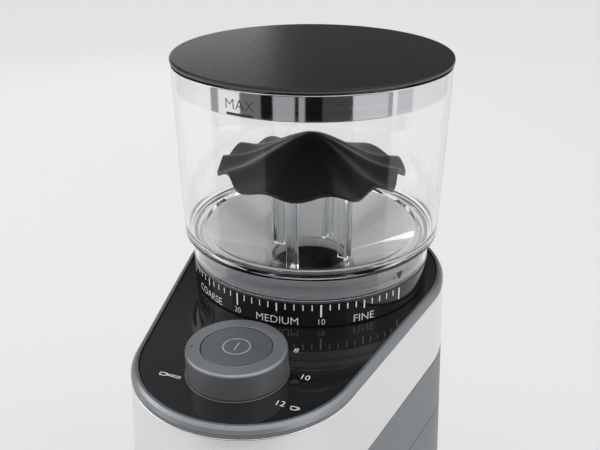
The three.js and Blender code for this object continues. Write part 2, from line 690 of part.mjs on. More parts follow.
part("scale_ring", scaleRing(), GLOSS_BLACK);
part("grind_adjuster", grindAdjuster(), DARK_PLASTIC);
part("ring_burr", ringBurr(), STEEL);
part("adjuster_seal", tube(37.2, 40.4, 264.8, 266.1, 0, HOPPER_Y, 32), RUBBER);
part("grinding_chamber", grindingChamber(), DARK_PLASTIC);
part("cone_burr", coneBurr(), STEEL);
part("sweeper", sweeper(), NYLON);
part("burr_shaft", disc(SHAFT_R, 188, 271, 0, HOPPER_Y, 24), STEEL);
part("burr_nut", burrNut(), STEEL);
part("upper_bearing", bearing(224.4, 230.6), STEEL);
part("lower_bearing", bearing(190.4, 195.4), STEEL);
part("grounds_chute", groundsChute(), DARK_PLASTIC);
part("chute_seal", chuteSeal(), RUBBER);

part("gearbox_housing", gearboxHousing(), DARK_PLASTIC);
part("gearbox_cover", gearboxCover(), DARK_PLASTIC);
part("burr_wheel", burrWheel(), NYLON);
part("idler_gear", idlerGear(), NYLON);
part("idler_axle", disc(2, 193.4, 221, IDLER.x, IDLER.y, 16), STEEL);
part("motor_pinion", motorPinion(), BRASS);
part("motor_can", motorCan(), STEEL);
part("motor_end_bell", motorEndBell(), DARK_PLASTIC);
part("motor_armature", motorArmature(), COPPER);
part("motor_magnet_front", motorMagnet(-1), DARK_PLASTIC);
part("motor_magnet_back", motorMagnet(1), DARK_PLASTIC);
part("motor_mount", tube(8, MOTOR_R - 3, MOTOR_TOP + CLEAR, 189.9, 0, MOTOR_Y, 32), RUBBER);

part("deck_plate", deckPlate(), GLOSS_BLACK);
part("deck_trim", deckTrim(), GUNMETAL);
part("knob_ring", knobRing(), GUNMETAL);
part("knob_hub", knobHub(), DARK_PLASTIC);
part("start_button", startButton(), GUNMETAL);
part("button_spring", buttonSpring(), STEEL);
part("knob_encoder", knobEncoder(), DARK_PLASTIC);
part("start_switch", disc(4.4, 259.1, 262.2, 0, KNOB_Y, 20), DARK_PLASTIC);
part("control_board", controlBoard(), BOARD_GREEN);

part("steel_head", wallRing(HEAD_BOTTOM, TRIM_BOTTOM - CLEAR, 0, 1.2), STEEL);
part("grey_collar", collar(), GREY_PLASTIC);
part("chassis_plate", chassisPlate(), DARK_PLASTIC);
part("main_housing", mainHousing(), GREY_PLASTIC);
part("plinth", plinth(), DARK_PLASTIC);
part("bottom_cover", bottomCover(), DARK_PLASTIC);
part("cord_inlet", cordInlet(), DARK_PLASTIC);
part("power_board", powerBoard(), BOARD_GREEN);
part("bay_switch", baySwitch(), DARK_PLASTIC);
part("bay_plunger", bayPlunger(), NYLON);
part("grounds_bin", groundsBin(), SMOKED_PLASTIC);
part("bin_lid", binLid(), DARK_PLASTIC);

for (const [i, [x, y]] of footPlaces.entries()) {
  part(`foot_${i + 1}`, foot(x, y), RUBBER);
}
for (const [i, [x, y]] of screwPlaces.entries()) {
  part(`cover_screw_${i + 1}`, coverScrew(x, y), STEEL);
}

export default group;
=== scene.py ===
"""Burr coffee grinder: the fine surfaces, finishes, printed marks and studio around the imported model.

Lengths are written in millimetres and turned into metres where a mesh is made.
"""

import json
import math

import bmesh
import bpy
from mathutils import Matrix, Vector


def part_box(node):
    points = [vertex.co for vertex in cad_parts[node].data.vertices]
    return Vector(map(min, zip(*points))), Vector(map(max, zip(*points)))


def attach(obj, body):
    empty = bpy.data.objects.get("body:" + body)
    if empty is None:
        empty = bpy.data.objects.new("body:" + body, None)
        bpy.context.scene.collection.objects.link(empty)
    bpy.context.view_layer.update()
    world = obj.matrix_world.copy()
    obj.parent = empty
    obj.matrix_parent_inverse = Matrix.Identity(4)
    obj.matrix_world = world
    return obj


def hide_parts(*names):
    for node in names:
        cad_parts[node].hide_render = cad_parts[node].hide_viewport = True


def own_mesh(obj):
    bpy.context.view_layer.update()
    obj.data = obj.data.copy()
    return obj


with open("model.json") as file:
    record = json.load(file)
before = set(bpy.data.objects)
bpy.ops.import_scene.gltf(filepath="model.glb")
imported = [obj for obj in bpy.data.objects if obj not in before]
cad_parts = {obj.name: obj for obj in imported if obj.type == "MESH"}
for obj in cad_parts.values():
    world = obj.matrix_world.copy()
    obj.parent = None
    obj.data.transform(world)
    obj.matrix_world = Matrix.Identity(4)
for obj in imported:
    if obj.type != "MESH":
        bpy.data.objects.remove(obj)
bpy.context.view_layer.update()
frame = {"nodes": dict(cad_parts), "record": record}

MM = 0.001

# ---- places and sizes from the frame


def low_high(node):
    """A CAD node's lowest and highest corner, in millimetres."""
    low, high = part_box(node)
    return Vector(low) / MM, Vector(high) / MM


def levels(node):
    low, high = low_high(node)
    return low.z, high.z


def axis_of(node):
    """Where a round node's upright axis stands."""
    low, high = low_high(node)
    return (low.x + high.x) / 2, (low.y + high.y) / 2


LID_LOW, LID_HIGH = low_high("hopper_lid")
TOP = LID_HIGH.z
LID_R = (LID_HIGH.x - LID_LOW.x) / 2
HOPPER = axis_of("scale_ring")
KNOB = axis_of("knob_ring")
DECK_Z = low_high("deck_plate")[1].z
RING_R = low_high("scale_ring")[1].x
RING_TOP = low_high("scale_ring")[1].z
SKIRT_R = RING_R - 0.2
KNOB_R = low_high("knob_ring")[1].x
KNOB_TOP = low_high("knob_ring")[1].z
BUTTON_R = low_high("start_button")[1].x
TRIM_BOTTOM = low_high("deck_trim")[0].z
HEAD_BOTTOM = low_high("steel_head")[0].z
COLLAR_BOTTOM, COLLAR_TOP = levels("grey_collar")
SHELL_BOTTOM, SHELL_TOP = levels("main_housing")
PLINTH_BOTTOM, PLINTH_TOP = levels("plinth")
BIN_BOTTOM, BIN_TOP = levels("grounds_bin")
BIN_LID_TOP = low_high("bin_lid")[1].z

TRIM_W = 3.6
BACK_R = low_high("deck_trim")[1].x - TRIM_W
BACK_TO_NOSE = 93
NOSE_R = 47.9
HOPPER_FROM_BACK = 5
BACK_Y = HOPPER[1] + HOPPER_FROM_BACK
NOSE_Y = BACK_Y - BACK_TO_NOSE
INSIDE = 0.1  # the fine surfaces stay this far inside the CAD's box
FLARE_SPREAD = low_high("plinth")[1].y - INSIDE - BACK_Y - BACK_R - TRIM_W
FLARE = FLARE_SPREAD / (TRIM_BOTTOM - PLINTH_BOTTOM)
BAY_FRONT_Y = -14
BAY_BACK_Y = 4
BAY_FLOOR = 44
BAY_CEILING = 176
POCKET = 52  # half the width of the pocket behind the bay
BIN_POCKET = 51
BIN_FRONT_Y = BAY_FRONT_Y - 0.5
BIN_BACK_Y = BAY_BACK_Y - 0.8
BIN_GAP = 0.15
WALL = 2.6


def flare(z):
    return TRIM_W + (TRIM_BOTTOM - z) * FLARE


# ---- outlines and profiles

def arc(cx, cy, radius, start, end, steps):
    """Points of an arc, angles in radians."""
    return [(cx + radius * math.cos(start + (end - start) * i / steps),
             cy + radius * math.sin(start + (end - start) * i / steps)) for i in range(steps + 1)]


BACK_STEPS = 72
NOSE_STEPS = 56


def outline(offset):
    """The body's plan: a belt round a wide circle at the back and a narrower one at the nose."""
    lean = math.asin((BACK_R - NOSE_R) / BACK_TO_NOSE)
    back = arc(0, BACK_Y, BACK_R + offset, -lean, math.pi + lean, BACK_STEPS)
    nose = arc(0, NOSE_Y, NOSE_R + offset, math.pi + lean, math.tau - lean, NOSE_STEPS)
    return back + nose


def front_outline(offset, back_line, nose_steps=64, side_steps=6):
    """The part of the plan in front of a line across it, from its right end round to its left end."""
    lean = math.asin((BACK_R - NOSE_R) / BACK_TO_NOSE)
    nose = arc(0, NOSE_Y, NOSE_R + offset, math.tau - lean, math.pi + lean, nose_steps)
    x, y = nose[0]
    reach = (back_line - y) / math.cos(lean)
    side = [(x + reach * math.sin(lean) * (1 - i / side_steps), back_line - (back_line - y) * i / side_steps)
            for i in range(side_steps)]
    return side + nose + [(-px, py) for px, py in reversed(side)]


LONG_SIDE = 0.6  # a side longer than this gets support points
SUPPORT = 0.12  # and they stand this far from its ends


def rounded(points, radii, steps=5):
    """A closed outline with its corners turned into arcs. radii is one number or one for each corner."""
    if not isinstance(radii, (list, tuple)):
        radii = [radii] * len(points)
    out = []
    for i, (point, radius) in enumerate(zip(points, radii)):
        here = Vector(point)
        before = Vector(points[i - 1]) - here
        after = Vector(points[(i + 1) % len(points)]) - here
        corner = before.angle(after) if before.length * after.length > 1e-9 else math.pi
        if radius <= 0 or corner > math.radians(178) or corner < math.radians(2):
            out.append(tuple(here))
            continue
        reach = min(radius / math.tan(corner / 2), before.length * 0.49, after.length * 0.49)
        start = here + before.normalized() * reach
        end = here + after.normalized() * reach
        for step in range(steps + 1):
            t = step / steps
            out.append(tuple(start * (1 - t) ** 2 + here * 2 * t * (1 - t) + end * t ** 2))
    return supported(out)


def supported(points):
    """Adds a point close to each end of every long side, so that smooth shading leaves the side flat."""
    out = []
    for i, point in enumerate(points):
        here, following = Vector(point), Vector(points[(i + 1) % len(points)])
        out.append(point)
        length = (following - here).length
        if length > LONG_SIDE:
            step = (following - here) * (SUPPORT / length)
            out += [tuple(here + step), tuple(following - step)]
    return out


# ---- meshes

def vertex(mesh, x, y, z):
    return mesh.verts.new(Vector((x, y, z)) * MM)


def stitch(mesh, rows, closed):
    """Faces between rows of vertices. A row of one vertex is a pole."""
    pairs = list(zip(rows, rows[1:])) + ([(rows[-1], rows[0])] if closed else [])
    for low, high in pairs:
        count = max(len(low), len(high))
        for i in range(count if count > 1 else 0):
            corners = [
                low[i % len(low)], low[(i + 1) % len(low)], high[(i + 1) % len(high)], high[i % len(high)],
            ]
            unique = list(dict.fromkeys(corners))
            if len(unique) > 2:
                mesh.faces.new(unique)


def lathe(profile, centre=HOPPER, segments=160):
    """A closed profile of (radius, height) turned round an upright axis."""
    mesh = bmesh.new()
    rows = []
    for radius, z in profile:
        if radius < 1e-6:
            rows.append([vertex(mesh, *centre, z)])
            continue
        ring = arc(centre[0], centre[1], radius, 0, math.tau, segments)[:-1]
        rows.append([vertex(mesh, x, y, z) for x, y in ring])
    stitch(mesh, rows, True)
    return tidy(mesh)


def loft(loops, closed=False):
    """A skin through loops of (x, y, z) with equal counts, with flat ends unless it closes on itself."""
    mesh = bmesh.new()
    rows = [[vertex(mesh, *spot) for spot in loop] for loop in loops]
    stitch(mesh, rows, closed)
    if not closed:
        mesh.faces.new(list(reversed(rows[0])))
        mesh.faces.new(rows[-1])
    return tidy(mesh)


def belt(profile):
    """A closed profile of (offset, height) carried round the body's plan."""
    return loft([[(x, y, z) for x, y in outline(offset)] for offset, z in profile], closed=True)


def front_belt(profile, back_line):
    """The same, only in front of a line, with flat ends."""
    rails = [[(x, y, z) for x, y in front_outline(offset, back_line)] for offset, z in profile]
    return loft(list(zip(*rails)))


def wall_profile(z0, z1, thickness, edge=0.4, inset=0.0):
    """A wall that follows the flare, with rounded outer edges."""
    outer0, outer1 = flare(z0) - inset, flare(z1) - inset
    corners = [(outer0 - thickness, z0), (outer0, z0), (outer1, z1), (outer1 - thickness, z1)]
    return rounded(corners, [0.1, edge, edge, 0.1], 4)


def slab(points, z0, z1, edge=0.0):
    """A flat plate with the given plan and, if asked, rounded top and bottom edges."""
    if not edge:
        return loft([[(x, y, z) for x, y in points] for z in (z0, z1)])
    middle = Vector((sum(p[0] for p in points), sum(p[1] for p in points))) / len(points)
    reach = max((Vector(p) - middle).length for p in points)

    def shrunk(inset, z):
        scale = 1 - inset / reach
        return [(middle.x + (x - middle.x) * scale, middle.y + (y - middle.y) * scale, z) for x, y in points]

    turns = [math.pi / 2 * i / 3 for i in range(4)]
    lower = [shrunk(edge * (1 - math.sin(t)), z0 + edge * (1 - math.cos(t))) for t in turns]
    upper = [shrunk(edge * (1 - math.cos(t)), z1 - edge * (1 - math.sin(t))) for t in turns]
    first, last = shrunk(edge + SUPPORT, z0), shrunk(edge + SUPPORT, z1)
    sides = [shrunk(0, z0 + edge + SUPPORT), shrunk(0, z1 - edge - SUPPORT)]
    return loft([first] + lower + sides + upper + [last])


def box_mesh(low, high):
    mesh = bmesh.new()
    bmesh.ops.create_cube(mesh, size=1)
    size = Vector(high) - Vector(low)
    middle = (Vector(high) + Vector(low)) / 2
    for vert in mesh.verts:
        vert.co = Vector((vert.co.x * size.x, vert.co.y * size.y, vert.co.z * size.z)) * MM + middle * MM
    return mesh


def facing_out(mesh):
    bmesh.ops.recalc_face_normals(mesh, faces=mesh.faces)
    return mesh


def tidy(mesh):
    bmesh.ops.remove_doubles(mesh, verts=mesh.verts, dist=1e-7)
    return facing_out(mesh)


def combined(*meshes):
    """Several separate closed bodies in one mesh."""
    whole = bmesh.new()
    for mesh in meshes:
        data = bpy.data.meshes.new("part")
        mesh.to_mesh(data)
        whole.from_mesh(data)
        bpy.data.meshes.remove(data)
    return whole


# ---- objects

def linked(name, mesh):
    """The mesh as an object in the scene."""
    data = bpy.data.meshes.new(name)
    mesh.to_mesh(data)
    mesh.free()
    obj = bpy.data.objects.new(name, data)
    bpy.context.scene.collection.objects.link(obj)
    return obj


def shaded(data, sharp):
    """Smooth shading, with edges sharper than an angle in degrees left sharp."""
    data.polygons.foreach_set("use_smooth", [True] * len(data.polygons))
    data.set_sharp_from_angle(angle=math.radians(sharp))


def place(name, mesh, finish, body, nodes=(), sharp=32):
    """Makes the object, shades it, gives it its finish's material and ties it to the frame."""
    obj = linked(name, mesh)
    shaded(obj.data, sharp)
    obj.data.materials.append(MATERIALS[finish])
    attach(obj, body)
    if nodes:
        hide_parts(*nodes)
    return obj


def settle(obj, sharp=32):
    """Applies the modifiers that shape the mesh."""
    graph = bpy.context.evaluated_depsgraph_get()
    data = bpy.data.meshes.new_from_object(obj.evaluated_get(graph))
    obj.modifiers.clear()
    obj.data = data
    shaded(data, sharp)


def cut(obj, mesh, operation="DIFFERENCE"):
    """Cuts another closed mesh out of the object, or joins it on."""
    cutter = linked("cutter", mesh)
    boolean = obj.modifiers.new("boolean", "BOOLEAN")
    boolean.object = cutter
    boolean.operation = operation
    boolean.solver = "EXACT"
    bpy.context.view_layer.update()
    settle(obj)
    bpy.data.objects.remove(cutter)


def bevelled(obj, width):
    bevel = obj.modifiers.new("bevel", "BEVEL")
    bevel.width = width * MM
    bevel.segments = 3
    bevel.limit_method = "ANGLE"
    bevel.angle_limit = math.radians(50)
    bevel.harden_normals = False
    settle(obj, 50)


# ---- materials

def node(tree, kind, **inputs):
    """Adds a shader node. An underscore in an input's name stands for a space."""
    made = tree.nodes.new("ShaderNode" + kind)
    set_inputs(made, inputs)
    return made


def set_inputs(made, inputs):
    for key, value in inputs.items():
        made.inputs[key.replace("_", " ")].default_value = value


def shader_of(material):
    return material.node_tree.nodes["Principled BSDF"]


def blank(name, color, roughness, metallic=0.0, **inputs):
    material = bpy.data.materials.new(name)
    material.use_nodes = True
    looks = {"Base_Color": (*color, 1), "Roughness": roughness, "Metallic": metallic, **inputs}
    set_inputs(shader_of(material), looks)
    return material


def noise(material, scale, detail=3.0, stretch=(1, 1, 1)):
    """Noise fixed to the object, in features per metre, and stretched along chosen axes."""
    tree = material.node_tree
    mapping = node(tree, "Mapping", Scale=stretch)
    texture = node(tree, "TexNoise", Scale=scale, Detail=detail)
    tree.links.new(node(tree, "TexCoord").outputs["Object"], mapping.inputs["Vector"])
    tree.links.new(mapping.outputs["Vector"], texture.inputs["Vector"])
    return texture.outputs["Fac"]


NOISE_LOW, NOISE_HIGH = 0.3, 0.7  # where most of a noise's values lie


def rough_by(material, value, low, high):
    tree = material.node_tree
    spread = node(tree, "MapRange", From_Min=NOISE_LOW, From_Max=NOISE_HIGH, To_Min=low, To_Max=high)
    tree.links.new(value, spread.inputs["Value"])
    tree.links.new(spread.outputs["Result"], shader_of(material).inputs["Roughness"])


def bump_by(material, value, strength, distance):
    tree = material.node_tree
    bump = node(tree, "Bump", Strength=strength, Distance=distance * MM)
    tree.links.new(value, bump.inputs["Height"])
    tree.links.new(bump.outputs["Normal"], shader_of(material).inputs["Normal"])


def tint_by(material, value, dark, light):
    tree = material.node_tree
    drift = node(tree, "ValToRGB")
    for element, color, position in zip(drift.color_ramp.elements, (dark, light), (0.35, 0.65)):
        element.color = (*color, 1)
        element.position = position
    tree.links.new(value, drift.inputs["Fac"])
    tree.links.new(drift.outputs["Color"], shader_of(material).inputs["Base Color"])


def moulded(name, dark, light, rough, grain=2500, depth=0.02, strength=0.35, shine=0.5):
    """Moulded plastic or rubber: fine spark texture, a little colour drift and uneven gloss."""
    material = blank(name, light, rough, Specular_IOR_Level=shine)
    tint_by(material, noise(material, 300), dark, light)
    rough_by(material, noise(material, 420), rough - 0.02, rough + 0.02)
    bump_by(material, noise(material, grain, 2), strength, depth)
    return material


def clear(name, color, rough):
    """Clear moulded plastic: refracts, with the faint waves that moulding leaves, and lets light through."""
    material = blank(name, color, rough, IOR=1.49, Transmission_Weight=1.0)
    rough_by(material, noise(material, 40), rough, rough + 0.015)
    bump_by(material, noise(material, 45, 1), 0.25, 0.004)
    tree = material.node_tree
    passing = node(tree, "BsdfTransparent", Color=(*color, 1))
    mix = node(tree, "MixShader")
    tree.links.new(node(tree, "LightPath").outputs["Is Shadow Ray"], mix.inputs["Fac"])
    tree.links.new(shader_of(material).outputs["BSDF"], mix.inputs[1])
    tree.links.new(passing.outputs["BSDF"], mix.inputs[2])
    tree.links.new(mix.outputs["Shader"], tree.nodes["Material Output"].inputs["Surface"])
    return material


def glowing(name, level):
    """A studio card that gives an even grey."""
    material = moulded(name, (0.004, 0.004, 0.004), (0.005, 0.005, 0.005), 0.9, 300, 0.02, 0.05, 0.0)
    glow = {"Emission_Color": (level, level, level * 1.02, 1), "Emission_Strength": 1.0}
    set_inputs(shader_of(material), glow)
    return material


def gloss(name, color, rough):
    material = blank(name, color, rough, IOR=1.5)
    rough_by(material, noise(material, 25), rough, rough + 0.03)
    bump_by(material, noise(material, 18, 1), 0.1, 0.004)
    return material


def satin_metal(name, dark, light, rough, grain=1800, metallic=0.85):
    """Sprayed or blasted metal: fine sparkle in the gloss and a soft tooth."""
    material = blank(name, light, rough, metallic)
    tint_by(material, noise(material, grain * 2), dark, light)
    rough_by(material, noise(material, grain), rough - 0.04, rough + 0.06)
    bump_by(material, noise(material, grain, 2), 0.25, 0.008)
    return material


def brushed(name, dark, light, rough, stretch, scale=220, depth=0.012):
    """Metal with fine parallel brush lines along the axis that is stretched least."""
    material = blank(name, light, rough, 1.0, Anisotropic=0.55)
    lines = noise(material, scale, 4, stretch)
    tint_by(material, lines, dark, light)
    rough_by(material, lines, rough - 0.03, rough + 0.03)
    bump_by(material, noise(material, scale * 1.7, 3, stretch), 0.3, depth)
    return material


ROUND_BRUSH = (0.35, 0.35, 14)
FINISHES = {  # maker, then what it takes: colours, roughness, grain, bump, shine
    "satin_black": (moulded, (0.009, 0.010, 0.011), (0.011, 0.012, 0.013), 0.29, 3000, 0.001, 0.02, 0.2),
    "soft_black": (moulded, (0.007, 0.008, 0.009), (0.009, 0.0105, 0.012), 0.48, 2600, 0.001, 0.03, 0.4),
    "chrome": (brushed, (0.82, 0.83, 0.84), (0.86, 0.87, 0.88), 0.06, (0.2, 0.2, 4), 120, 0.0),
    "clear_plastic": (clear, (0.99, 0.993, 0.995), 0.0),
    "smoked_plastic": (clear, (0.36, 0.38, 0.40), 0.2),
    "gloss_black": (gloss, (0.006, 0.007, 0.008), 0.03),
    "gunmetal": (satin_metal, (0.19, 0.20, 0.21), (0.23, 0.24, 0.255), 0.36),
    "knob_metal": (satin_metal, (0.20, 0.21, 0.22), (0.24, 0.25, 0.265), 0.4, 1800, 0.8),
    "button_face": (satin_metal, (0.13, 0.14, 0.15), (0.17, 0.18, 0.19), 0.42),
    "brushed_steel": (brushed, (0.80, 0.805, 0.81), (0.815, 0.82, 0.825), 0.2, ROUND_BRUSH, 420, 0.0005),
    "machined_steel": (brushed, (0.16, 0.165, 0.17), (0.24, 0.245, 0.25), 0.32, (1, 1, 6)),
    "grey_plastic": (moulded, (0.120, 0.130, 0.139), (0.132, 0.143, 0.152), 0.42),
    # painted sheen: a lighter copy of satin_black for the lid's rim, standing in for that black plastic's
    # reflection of the bright floor
    "rim_painted_sheen": (moulded, (0.045, 0.049, 0.052), (0.05, 0.055, 0.058), 0.35, 3000, 0.002, 0.05),
    "skirt_plastic": (moulded, (0.24, 0.25, 0.26), (0.26, 0.27, 0.28), 0.3, 2500, 0.002, 0.05),
    "pale_plastic": (moulded, (0.77, 0.78, 0.79), (0.79, 0.80, 0.81), 0.4, 2500, 0.002, 0.05),
    "dark_plastic": (moulded, (0.028, 0.030, 0.032), (0.038, 0.040, 0.043), 0.5),
    "nylon": (moulded, (0.55, 0.53, 0.46), (0.68, 0.66, 0.58), 0.5),
    "brass": (brushed, (0.50, 0.36, 0.14), (0.66, 0.50, 0.24), 0.3, (1, 1, 5)),
    "armature": (brushed, (0.28, 0.12, 0.05), (0.50, 0.24, 0.11), 0.4, (1, 1, 9)),
    "board": (moulded, (0.02, 0.09, 0.045), (0.03, 0.13, 0.06), 0.45, 900, 0.02),
    "rubber": (moulded, (0.014, 0.015, 0.016), (0.02, 0.021, 0.022), 0.8, 1500, 0.03),
    "white_print": (moulded, (0.78, 0.79, 0.80), (0.84, 0.85, 0.86), 0.5, 3000, 0.002, 0.1),
    "grey_print": (moulded, (0.012, 0.013, 0.014), (0.016, 0.017, 0.018), 0.5, 3000, 0.002, 0.1),
    "ring_print": (moulded, (0.24, 0.25, 0.26), (0.28, 0.29, 0.30), 0.4, 3000, 0.002, 0.1),
    "floor": (moulded, (0.61, 0.61, 0.61), (0.62, 0.62, 0.62), 0.9, 300, 0.02, 0.05, 0.1),
    "card": (moulded, (0.006, 0.006, 0.006), (0.008, 0.008, 0.008), 0.9, 300, 0.02, 0.05, 0.0),
    "dim_card": (glowing, 0.05),
    "grey_card": (glowing, 0.15),
    "light_card": (glowing, 0.34),
    "pale_card": (glowing, 0.58),
    "backdrop": (glowing, 0.75),
}
MATERIALS = {name: maker(name, *values) for name, (maker, *values) in FINISHES.items()}


def paint_cad_nodes():
    """Every CAD node takes the finish of its material slot."""
    for entry in frame["record"]["subparts"]:
        obj = frame["nodes"][entry["node"]]
        obj.data.materials.clear()
        obj.data.materials.append(MATERIALS[entry["material_slot"]])


# ---- hopper and lid

LID_EDGE = 2.1
BAND_H = 10.6
BAND_IN, BAND_OUT = 63.95, 64.65
SEAL_OUT = 63.6
LID_PLUG_R = 61.8
BAND_REACH = 12.3  # the steel band hides the seal behind it
HOPPER_TOP = low_high("hopper_bowl")[1].z
HOPPER_R = low_high("hopper_bowl")[1].x - INSIDE
HOPPER_TAPER = 0.0246
HOPPER_WALL = 2.1
SHOULDER_EDGE_Z = 310.4
SHOULDER_Z = 317.5
THROAT_R = 18.9
THROAT_BOTTOM = low_high("hopper_bowl")[0].z
FLOOR_R = 54.8
FLOOR_Z = 312.4
FLOOR_DROP = 19
SKIRT_BOTTOM = RING_TOP + 0.3


def make_lid():
    edge = TOP - LID_EDGE
    rim = edge - BAND_H + 0.4
    radius = LID_R - INSIDE
    profile = [
        (0, edge), (LID_PLUG_R, edge), (LID_PLUG_R, rim), (SEAL_OUT, rim), (SEAL_OUT, edge), (radius, edge),
        (radius, TOP), (0, TOP),
    ]
    place("lid_disc", lathe(rounded(profile, [0, 0.3, 0.3, 0.3, 0.3, 0.5, 1.1, 0], 7)),
          "satin_black", "lid", ["hopper_lid"])
    # A thin ring over the lid's rim whose lighter colour is a painted sheen: the rim's reflection of the
    # floor, painted on the same black plastic
    rim_edge = [
        (radius - 3, edge + 0.25), (radius - 0.02, edge + 0.25), (radius - 0.02, TOP - 0.75),
        (radius - 3, TOP - 0.75),
    ]
    place("lid_edge", lathe(rounded([(r + 0.08, z) for r, z in rim_edge], [0.1, 0.5, 0.5, 0.1], 5),
                            segments=192),
          "rim_painted_sheen", "lid")
    band = [
        (BAND_IN, edge - BAND_REACH), (BAND_OUT, edge - BAND_REACH), (BAND_OUT, edge - 0.3),
        (BAND_IN, edge - 0.3),
    ]
    place("lid_band", lathe(rounded(band, 0.2, 3)), "chrome", "lid", ["lid_steel_band"])
    low, high = low_high("lid_seal")
    seal = [
        (LID_PLUG_R + 0.2, low.z), (SEAL_OUT + 0.2, low.z), (SEAL_OUT + 0.2, high.z),
        (LID_PLUG_R + 0.2, high.z),
    ]
    place("lid_seal_ring", lathe(rounded(seal, 0.5, 4)), "grey_plastic", "lid", ["lid_seal"])


def wall_radius(z):
    """The hopper's outer radius at a height above its shoulder."""
    return HOPPER_R - (HOPPER_TOP - z) * HOPPER_TAPER


def make_hopper():
    top_in = wall_radius(HOPPER_TOP) - HOPPER_WALL
    corners = [
        (top_in, HOPPER_TOP), (wall_radius(FLOOR_Z) - HOPPER_WALL, FLOOR_Z + 0.6), (FLOOR_R, FLOOR_Z),
        (THROAT_R, FLOOR_Z - FLOOR_DROP), (THROAT_R, THROAT_BOTTOM), (THROAT_R + 2.3, THROAT_BOTTOM),
        (THROAT_R + 2.3, FLOOR_Z - FLOOR_DROP - 1.8), (FLOOR_R, FLOOR_Z - 2.8),
        (SKIRT_R - 1.8, FLOOR_Z - 3), (SKIRT_R - 1.8, SKIRT_BOTTOM), (SKIRT_R, SKIRT_BOTTOM),
        (SKIRT_R, SHOULDER_EDGE_Z), (wall_radius(SHOULDER_EDGE_Z), SHOULDER_EDGE_Z + 0.2),
        (HOPPER_R, HOPPER_TOP),
    ]
    radii = [0.5, 7, 5, 0.5, 0.3, 0.3, 1, 2, 0.8, 0.3, 0.4, 0.8, 5, 0.7]
    place("hopper_shell", lathe(rounded(corners, radii, 10), segments=192), "clear_plastic", "hopper",
          ["hopper_bowl"])


SLEEVE_TOP = 286.5


def make_funnel_liner():
    """A pale skin close under the funnel, a stepped ring inside the skirt and a dark sleeve in the throat."""
    under = 1.2
    slope = FLOOR_DROP / (FLOOR_R - THROAT_R)
    start = THROAT_R + 3.2
    z0 = FLOOR_Z - FLOOR_DROP - 2 + slope * (start - THROAT_R) - under
    z1 = FLOOR_Z - 2.8 - under
    cone = [
        (start, SLEEVE_TOP), (start, z0), (57, z1), (57, z1 - 1), (start + 0.8, z0 - 1),
        (start + 0.8, SLEEVE_TOP),
    ]
    place("funnel_liner", lathe(rounded(cone, [0.2, 1.5, 0.3, 0.3, 1.5, 0.2], 4)), "pale_plastic", "hopper")
    outer = SKIRT_R - 2.3
    z2 = SKIRT_BOTTOM + 0.2
    ring = [
        (outer - 2.4, z2), (outer, z2), (outer, z2 + 3), (outer - 1.2, z2 + 3.4), (outer - 1.2, z2 + 6.4),
        (outer, z2 + 6.8), (outer, z1 - 0.4), (outer - 1.4, z1 - 0.2), (outer - 2.4, z1 - 1),
    ]
    place("skirt_ring", lathe(rounded(ring, [0.2, 0.3, 0.25, 0.2, 0.2, 0.25, 0.5, 0.3, 0.2], 4)),
          "skirt_plastic", "hopper")
    sleeve = [
        (THROAT_R + 2.5, THROAT_BOTTOM), (THROAT_R + 3.1, THROAT_BOTTOM),
        (THROAT_R + 3.1, SLEEVE_TOP - 0.2), (THROAT_R + 2.5, SLEEVE_TOP - 0.2),
    ]
    place("throat_sleeve", lathe(rounded(sleeve, 0.15, 2), segments=96), "dark_plastic", "hopper")


POST_R = 20.25
POST_W = 6.5
FIRST_POST = 172


def make_guard_posts():
    """Clear T-section posts round the throat, with a ring on top to carry the cap."""
    top = low_high("bean_guard_posts")[1].z
    foot = FLOOR_Z - FLOOR_DROP + 1.2
    ring = [(POST_R - 3, top - 3), (POST_R + 2, top - 3), (POST_R + 2, top), (POST_R - 3, top)]
    pieces = [lathe(rounded(ring, 0.5, 3), segments=96)]
    half = POST_W / 2
    web = [
        (-half, POST_R + 1.7), (-half, POST_R + 0.2), (-0.9, POST_R - 0.3), (-0.9, POST_R - 4.5),
        (0.9, POST_R - 4.5), (0.9, POST_R - 0.3), (half, POST_R + 0.2), (half, POST_R + 1.7),
    ]
    plan = rounded(web, 0.5, 3)
    for index in range(4):
        turn = Matrix.Rotation(math.radians(FIRST_POST + index * 90), 2)
        spots = [turn @ Vector(p) for p in plan]
        pieces.append(slab([(p.x + HOPPER[0], p.y + HOPPER[1]) for p in spots], foot, top - 1))
    place("guard_posts", combined(*pieces), "clear_plastic", "hopper", ["bean_guard_posts"])


CAP_R = low_high("bean_guard_cap")[1].x
CAP_PEAK = low_high("bean_guard_cap")[1].z - 0.7
CAP_RIM = 344.2
CAP_REAR_RIM = 341.0
CAP_FLUTES = 11


def cap_height(t, angle):
    """Height of the soft cap at a share t of its radius: a hill that spreads into waves at the rim."""
    slope = 0.5 * t ** 1.1 + 0.5 * (1 - math.cos(math.pi * min(1, 1.2 * t))) / 2
    behind = (1 + math.sin(angle)) / 2
    rim = CAP_RIM + (CAP_REAR_RIM - CAP_RIM) * behind ** 2
    hill = CAP_PEAK - (CAP_PEAK - rim) * slope
    side = abs(math.cos(angle))
    swell = 1.0 + 0.3 * behind + 1.7 * side ** 2
    wave = math.cos(CAP_FLUTES * angle + 0.9 * math.sin(2 * angle + 0.4))
    return hill + swell * t ** 2 * wave + 0.5 * t ** 2 * math.sin(5 * angle + 1.0)


